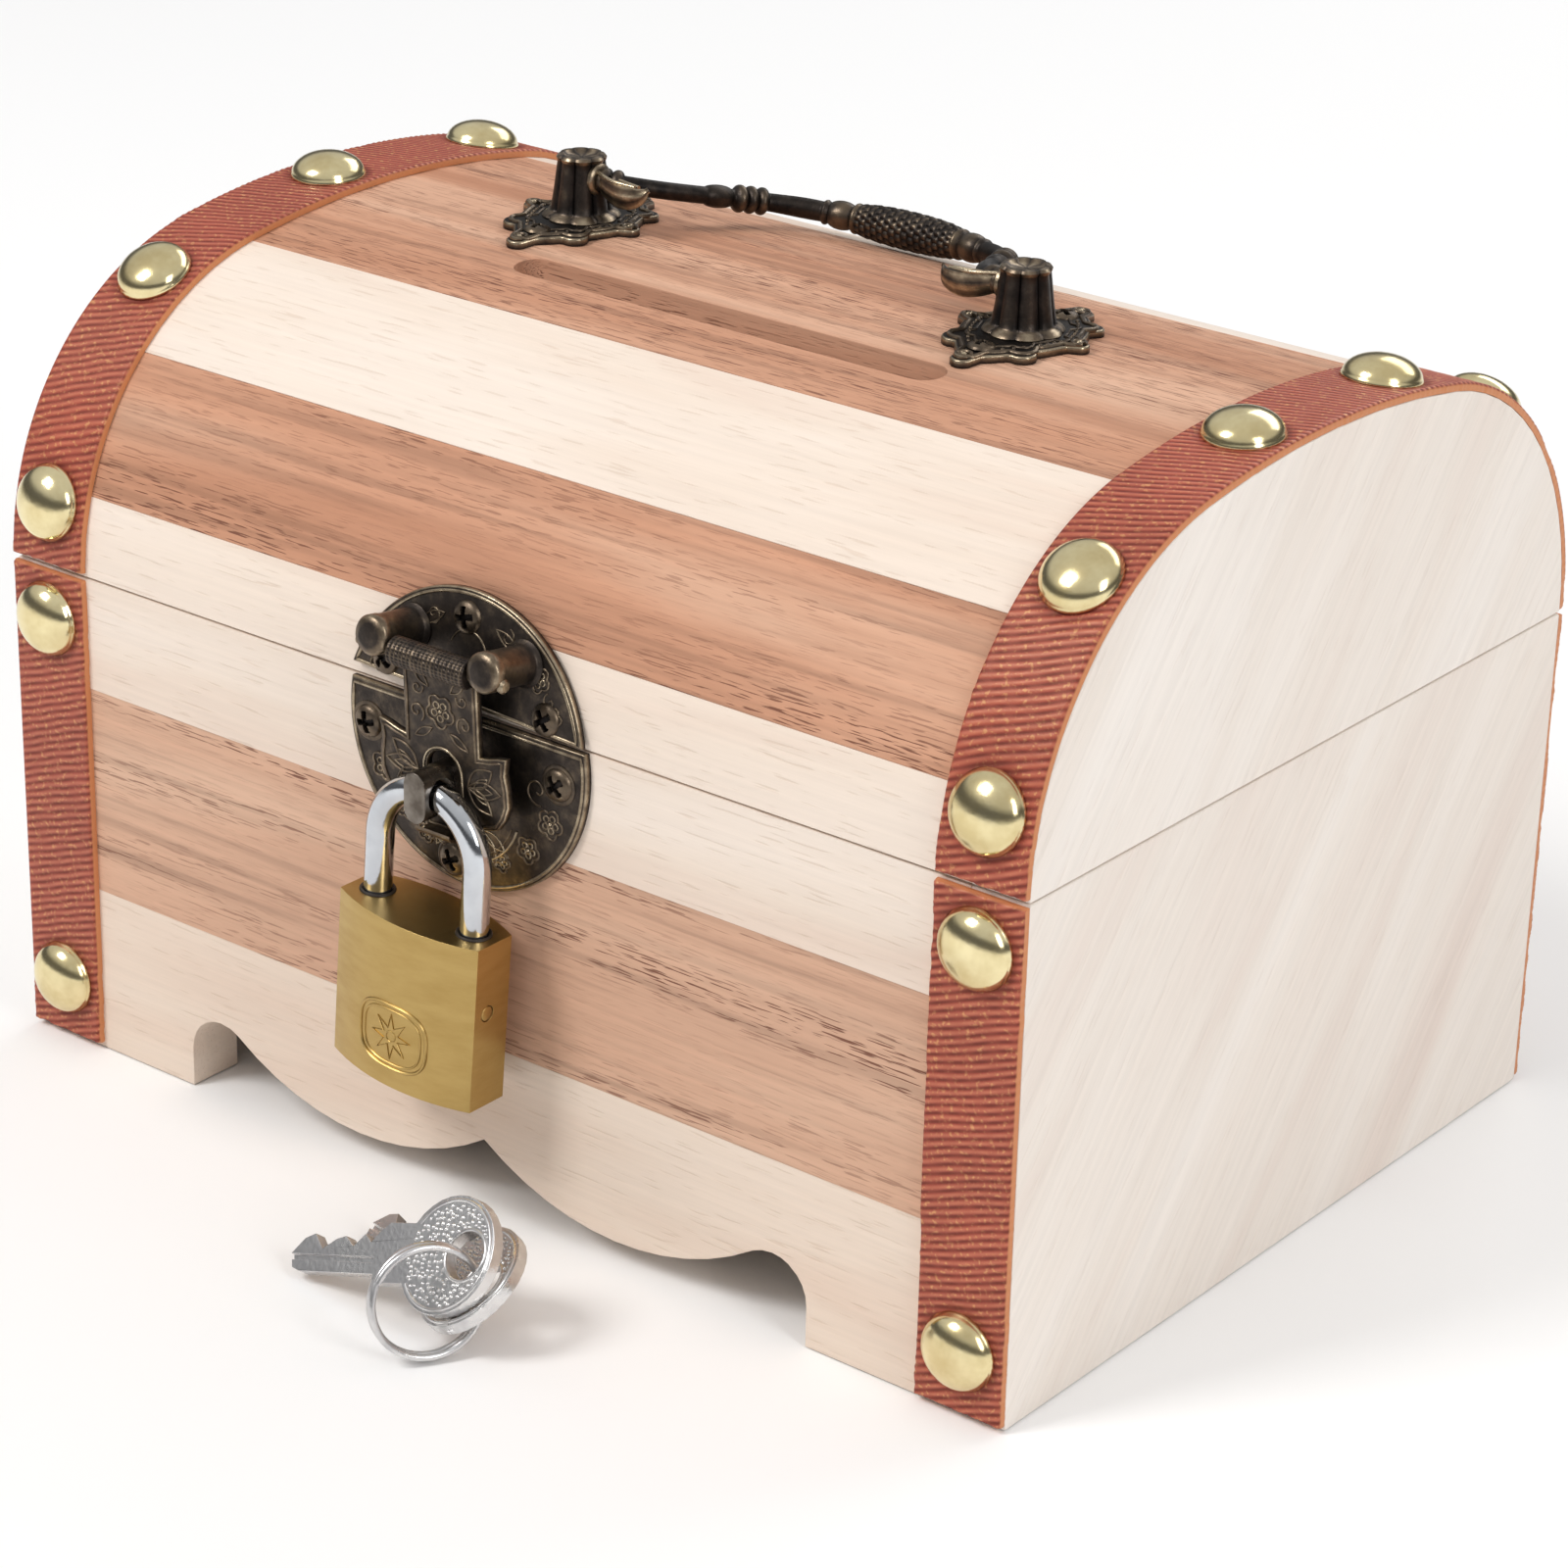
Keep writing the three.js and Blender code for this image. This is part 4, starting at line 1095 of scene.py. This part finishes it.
def add_flap():
    right = [
        (3.1, -25.3), (3.6, -24.1), (5.0, -23.3), (7.2, -23.2), (9.4, -22.5),
        (10.7, -20.7), (11.5, -18.6), (11.4, -16.2), (11.0, -14.0), (11.4, -11.5),
        (9.8, -11.8), (8.2, -12.3), (6.6, -12.6), (6.6, -6), (6.6, -0.8),
    ]
    outline = right + [(-x, z) for x, z in reversed(right)]
    hole = doorway(2.9, -23.0, 13)[::-1]
    shape = Shape()
    slab(shape, [outline, hole], -1.0, 0.0, 0.25, on_flap, face=0.34)
    ridge(shape, inset(outline, 0.6), 0.22, -0.02, on_flap, closed=True)
    ridge(shape, doorway(3.4, -22.6, 15), 0.2, 0.0, on_flap, relief=0.9)
    flower(shape, 0, -7.6, 2.5, 0.03, on_flap, turn=0.3)
    for sign in (-1, 1):
        ridge(shape, curl(sign * 4.3, -8.6, 1.5, 90, 1.4, sign), 0.15, 0.02, on_flap)
        ridge(shape, curl(sign * 4.0, -5.0, 1.1, 270, 1.3, -sign), 0.13, 0.02, on_flap)
        leaf(shape, on_flap, sign * 2.0, -4.4, 3.2, 1.2, 90 - sign * 50, 0.13, 0.02)
        leaf(shape, on_flap, sign * 1.6, -10.4, 3.6, 1.1, 270 + sign * 60, 0.13, 0.02)
        for heading, reach, wide in ((38, 6.6, 2.6), (4, 6.8, 2.4), (-36, 6.0, 2.4)):
            angle = heading if sign > 0 else 180 - heading
            leaf(shape, on_flap, sign * 4.4, -17.4, reach * 0.86, wide, angle, 0.16, 0.02)
            leaf(shape, on_flap, sign * 5.4, -17.4, reach * 0.5, wide * 0.45, angle, 0.11, 0.02, 0.7)
    path = [(LATCH_X + x, PIN_Y, PIN_Z) for x in np.linspace(-6.85, 6.85, 70)]
    radii = np.full(len(path), 2.03)
    radii[[0, -1]] = 1.7

    def knurl(share, angles):
        return 1 - 0.05 * (np.sin(12 * angles + 60 * share) * np.sin(12 * angles - 60 * share) > 0)

    points, faces = sweep(path, radii, 72, bumps=knurl)
    from_pin = np.linalg.norm(np.array(points)[:, 1:] - [PIN_Y, PIN_Z], axis=1)
    shape.add(points, faces, np.where(from_pin > 1.98, 0.5, 0.15))
    lip = []
    for reach, drop in ((0.0, -24.6), (0.9, -25.15), (1.9, -25.3), (2.8, -24.8), (3.2, -24.2)):
        lip.append([on_flap(u, drop, reach - 0.5) for u in np.linspace(-3.1, 3.1, 9)])
    upper = np.array(lip)
    lower = upper[::-1] + np.array([0, 0, -0.45])
    faces = grid_faces(10, 9, wrap_rows=True)
    faces.append(tuple(i * 9 for i in range(10)))
    faces.append(tuple(i * 9 + 8 for i in reversed(range(10))))
    shape.add(np.concatenate([upper, lower]).reshape(-1, 3), faces, 0.6)
    shape.build_bronze("hasp_flap_engraved", "hasp", "hasp_flap")


# ---- padlock

LOCK_AT = joint_at("plug_turn")
LOCK_LEAN = math.asin(joints["plug_turn"]["axis"][0])
LOCK_TOP = -17.9
LOCK_HALF, LOCK_FLAT, LOCK_BULGE = 12.6, 3.35, 2.65
BEND = 8.8
ROD_RADIUS = 2.0
LONG_LEG, SHORT_LEG = 14, 6.5
EMBLEM_Z = LOCK_TOP - 17.2


def in_lock(points):
    """From the padlock's own frame, whose origin is in the staple's hole, to the box frame."""
    points = np.atleast_2d(np.asarray(points, float))
    x, y, z = points.T
    c, s = cos(LOCK_LEAN), sin(LOCK_LEAN)
    return np.stack([x * c + z * s, y, z * c - x * s], 1) + LOCK_AT


def front_of_lock(x, z, w):
    radius = (LOCK_HALF ** 2 + LOCK_BULGE ** 2) / 2 / LOCK_BULGE
    centre = radius - LOCK_FLAT - LOCK_BULGE
    y = centre - math.sqrt(radius ** 2 - x * x) - w
    return in_lock([(x, y, z)])[0]


def add_padlock():
    for name, width in (("padlock_body", 0.3), ("padlock_plug", 0.12), ("padlock_side_pin", 0.15)):
        paint(name, lock_brass)
        soften(name, width)
    paint("padlock_bolt", lock_brass)
    emblem = Shape()
    for size, wire in ((6.0, 0.26), (5.1, 0.16)):
        frame_line = []
        for turn in full_turn(64):
            c, s = cos(turn), sin(turn)
            reach = size / (abs(c) ** 3 + abs(s) ** 3) ** (1 / 3)
            frame_line.append((reach * c, EMBLEM_Z + 0.8 * reach * s))
        ridge(emblem, frame_line, wire, 0.0, front_of_lock, closed=True)
    star = []
    for k in range(16):
        reach = 3.4 if k % 2 == 0 else 1.4
        star.append((reach * cos(pi * k / 8), EMBLEM_Z + reach * sin(pi * k / 8)))
    ridge(emblem, star, 0.15, 0.0, front_of_lock, closed=True)
    ridge(emblem, ring_loop(0, EMBLEM_Z, 0.8, 20), 0.12, 0.0, front_of_lock, closed=True)
    emblem.build("padlock_emblem", lock_brass, "padlock", "padlock_brass")

    # Painted shade: dark rings on the body's top where each shackle leg enters its hole.
    shade_rings = Shape()
    for x in (-BEND, BEND):
        ring = [(u, v, LOCK_TOP + 0.02) for u, v in ring_loop(x, 0, ROD_RADIUS + 0.3, 40)]
        shade_rings.add(*sweep(in_lock(ring), 0.26, 10, closed=True))
    shade_rings.build("padlock_shackle_gap_shade", painted_gap_shade, "padlock", "padlock_brass")

    bow = [(-BEND, 0, z) for z in np.linspace(LOCK_TOP - LONG_LEG, -BEND, 14)]
    bow += [(-BEND * cos(t), 0, -BEND + BEND * sin(t)) for t in np.linspace(0, pi, 50)[1:-1]]
    bow += [(BEND, 0, z) for z in np.linspace(-BEND, LOCK_TOP - SHORT_LEG, 12)]
    radii = np.full(len(bow), ROD_RADIUS)
    radii[[0, -1]] = 1.6
    shackle = Shape().add(*sweep(in_lock(bow), radii, 40, hint=(0, 1, 0)))
    shackle.build("padlock_shackle_rod", chrome, "shackle", "chrome", ("padlock_shackle",), smooth=50)


# ---- keys

KEY_TIPS = [np.array([-5.5, -80.5, 2.4]), np.array([-8.5, -94.0, 2.7])]
KEY_ROLLS = [37, 50]
KEY_APART = 2.4
KEY_FACE = 0.86
BOW_OFFSET, BOW_RADIUS = -3.4, 7.6
EYE_RADIUS = 3.55
RING_OUT = unit((-0.45, -0.88, -0.39))
RING_ACROSS = np.array([-0.47, -0.62, 0.42])
RING_ACROSS = unit(RING_ACROSS - RING_OUT * RING_ACROSS.dot(RING_OUT))
RING_RADIUS = 7.6
KEY_HUB = node_centre("key_ring") - RING_OUT * RING_RADIUS


def key_frame(index):
    hole = KEY_HUB + RING_ACROSS * (-KEY_APART if index == 0 else KEY_APART)
    along = unit(hole - KEY_TIPS[index])
    level = np.array([-along[1], along[0], 0]) / math.hypot(along[0], along[1])
    upright = np.cross(along, level)
    roll = math.radians(KEY_ROLLS[index])
    side = level * cos(roll) + upright * sin(roll)
    face = upright * cos(roll) - level * sin(roll)
    return hole, along, side, face


def add_keys():
    for index in (0, 1):
        hole, along, side, face = key_frame(index)
        name = f"key_{index + 1}"
        paint(name, nickel)
        soften(name, 0.22)
        rng = random.Random(5 + index)
        shape = Shape()
        for sign in (-1, 1):
            spots = []
            for _ in range(1500):
                x, y = rng.uniform(-11.4, 4.6), rng.uniform(-8, 8)
                if math.hypot(x - BOW_OFFSET, y) > 7.1 or math.hypot(x, y) < 3.9:
                    continue
                if all(math.hypot(x - a, y - b) > 0.56 for a, b in spots):
                    spots.append((x, y))
            for x, y in spots:
                centre = hole + along * x + side * y + face * sign * 0.88
                profile = dome_profile(rng.uniform(0.24, 0.36), 0.2, 4, 0.05)
                shape.turn(centre, face * sign, profile, 6)
            raised = hole + face * sign * KEY_FACE
            rim = circle(BOW_OFFSET, 0, BOW_RADIUS, -146, 146, 49)
            shape.add(*sweep([raised + along * x + side * y for x, y in rim], 0.3, 8))
            eye = ring_loop(0, 0, EYE_RADIUS, 40)
            shape.add(*sweep([raised + along * x + side * y for x, y in eye], 0.28, 8, closed=True))
        shape.build(f"{name}_pebbling", nickel, "keys", "nickel", smooth=60)
    centre = KEY_HUB + RING_OUT * RING_RADIUS
    axis = np.cross(RING_OUT, RING_ACROSS)
    coil = []
    for turn in np.linspace(0, 4 * pi, 150):
        climb = 0.55 * math.tanh((turn - 2 * pi) * 2.2)
        angle = turn + 0.9
        reach = RING_OUT * cos(angle) + RING_ACROSS * sin(angle)
        coil.append(centre + RING_RADIUS * reach + axis * climb)
    ring = Shape().add(*sweep(coil, 0.52, 14, hint=axis))
    ring.build("key_ring_coil", nickel, "keys", "nickel", ("key_ring",), smooth=60)


# ---- rear hinges

def add_hinge_screws():
    for side in ("left", "right"):
        x = node_centre(f"hinge_base_leaf_{side}")[0]
        for body, z in (("base", SPLIT - 7.2), ("lid", SPLIT + 7.6)):
            shape = Shape()
            for shift in (-6.6, 0, 6.6):
                screw(shape, (x + shift, HALF_Y + 0.85, z), (0, 1, 0), 1.5, 0.5, 25 + 9 * shift)
            shape.build(f"hinge_{body}_screws_{side}", brass, body, "nail_brass")


leather = leather_material()
brass = metal_material("nail_brass", srgb(236, 222, 176), srgb(214, 196, 146), 0.13)
bronze = bronze_material()
lock_brass = metal_material(
    "padlock_brass", srgb(186, 158, 100), srgb(178, 149, 91), 0.3, 0.00001, stretch=(120, 120, 400),
)
chrome = metal_material("chrome", srgb(206, 209, 213), srgb(190, 193, 198), 0.07)
nickel = metal_material("nickel", srgb(226, 225, 224), srgb(198, 197, 198), 0.24, bump_height=0.00008)
steel = metal_material("staple_steel", srgb(150, 143, 134), srgb(92, 84, 76), 0.24)
# Near-black colour of the painted shade in the shackle holes.
painted_gap_shade = plain_material("painted_gap_shade", srgb(42, 34, 26), 0.5)

add_camera()
add_studio()
dress_wood()
add_straps()
for side_name, side_sign in (("left", -1), ("right", 1)):
    handle_post(side_name, side_sign)
add_bail()
add_lower_plate()
add_upper_plate()
add_flap()
add_padlock()
add_keys()
add_hinge_screws()
paint("latch_staple", steel)
soften("latch_staple", 0.3)
for hinge_part in (n for n in nodes if n.startswith("hinge_")):
    paint(hinge_part, brass)
    soften(hinge_part, 0.15)
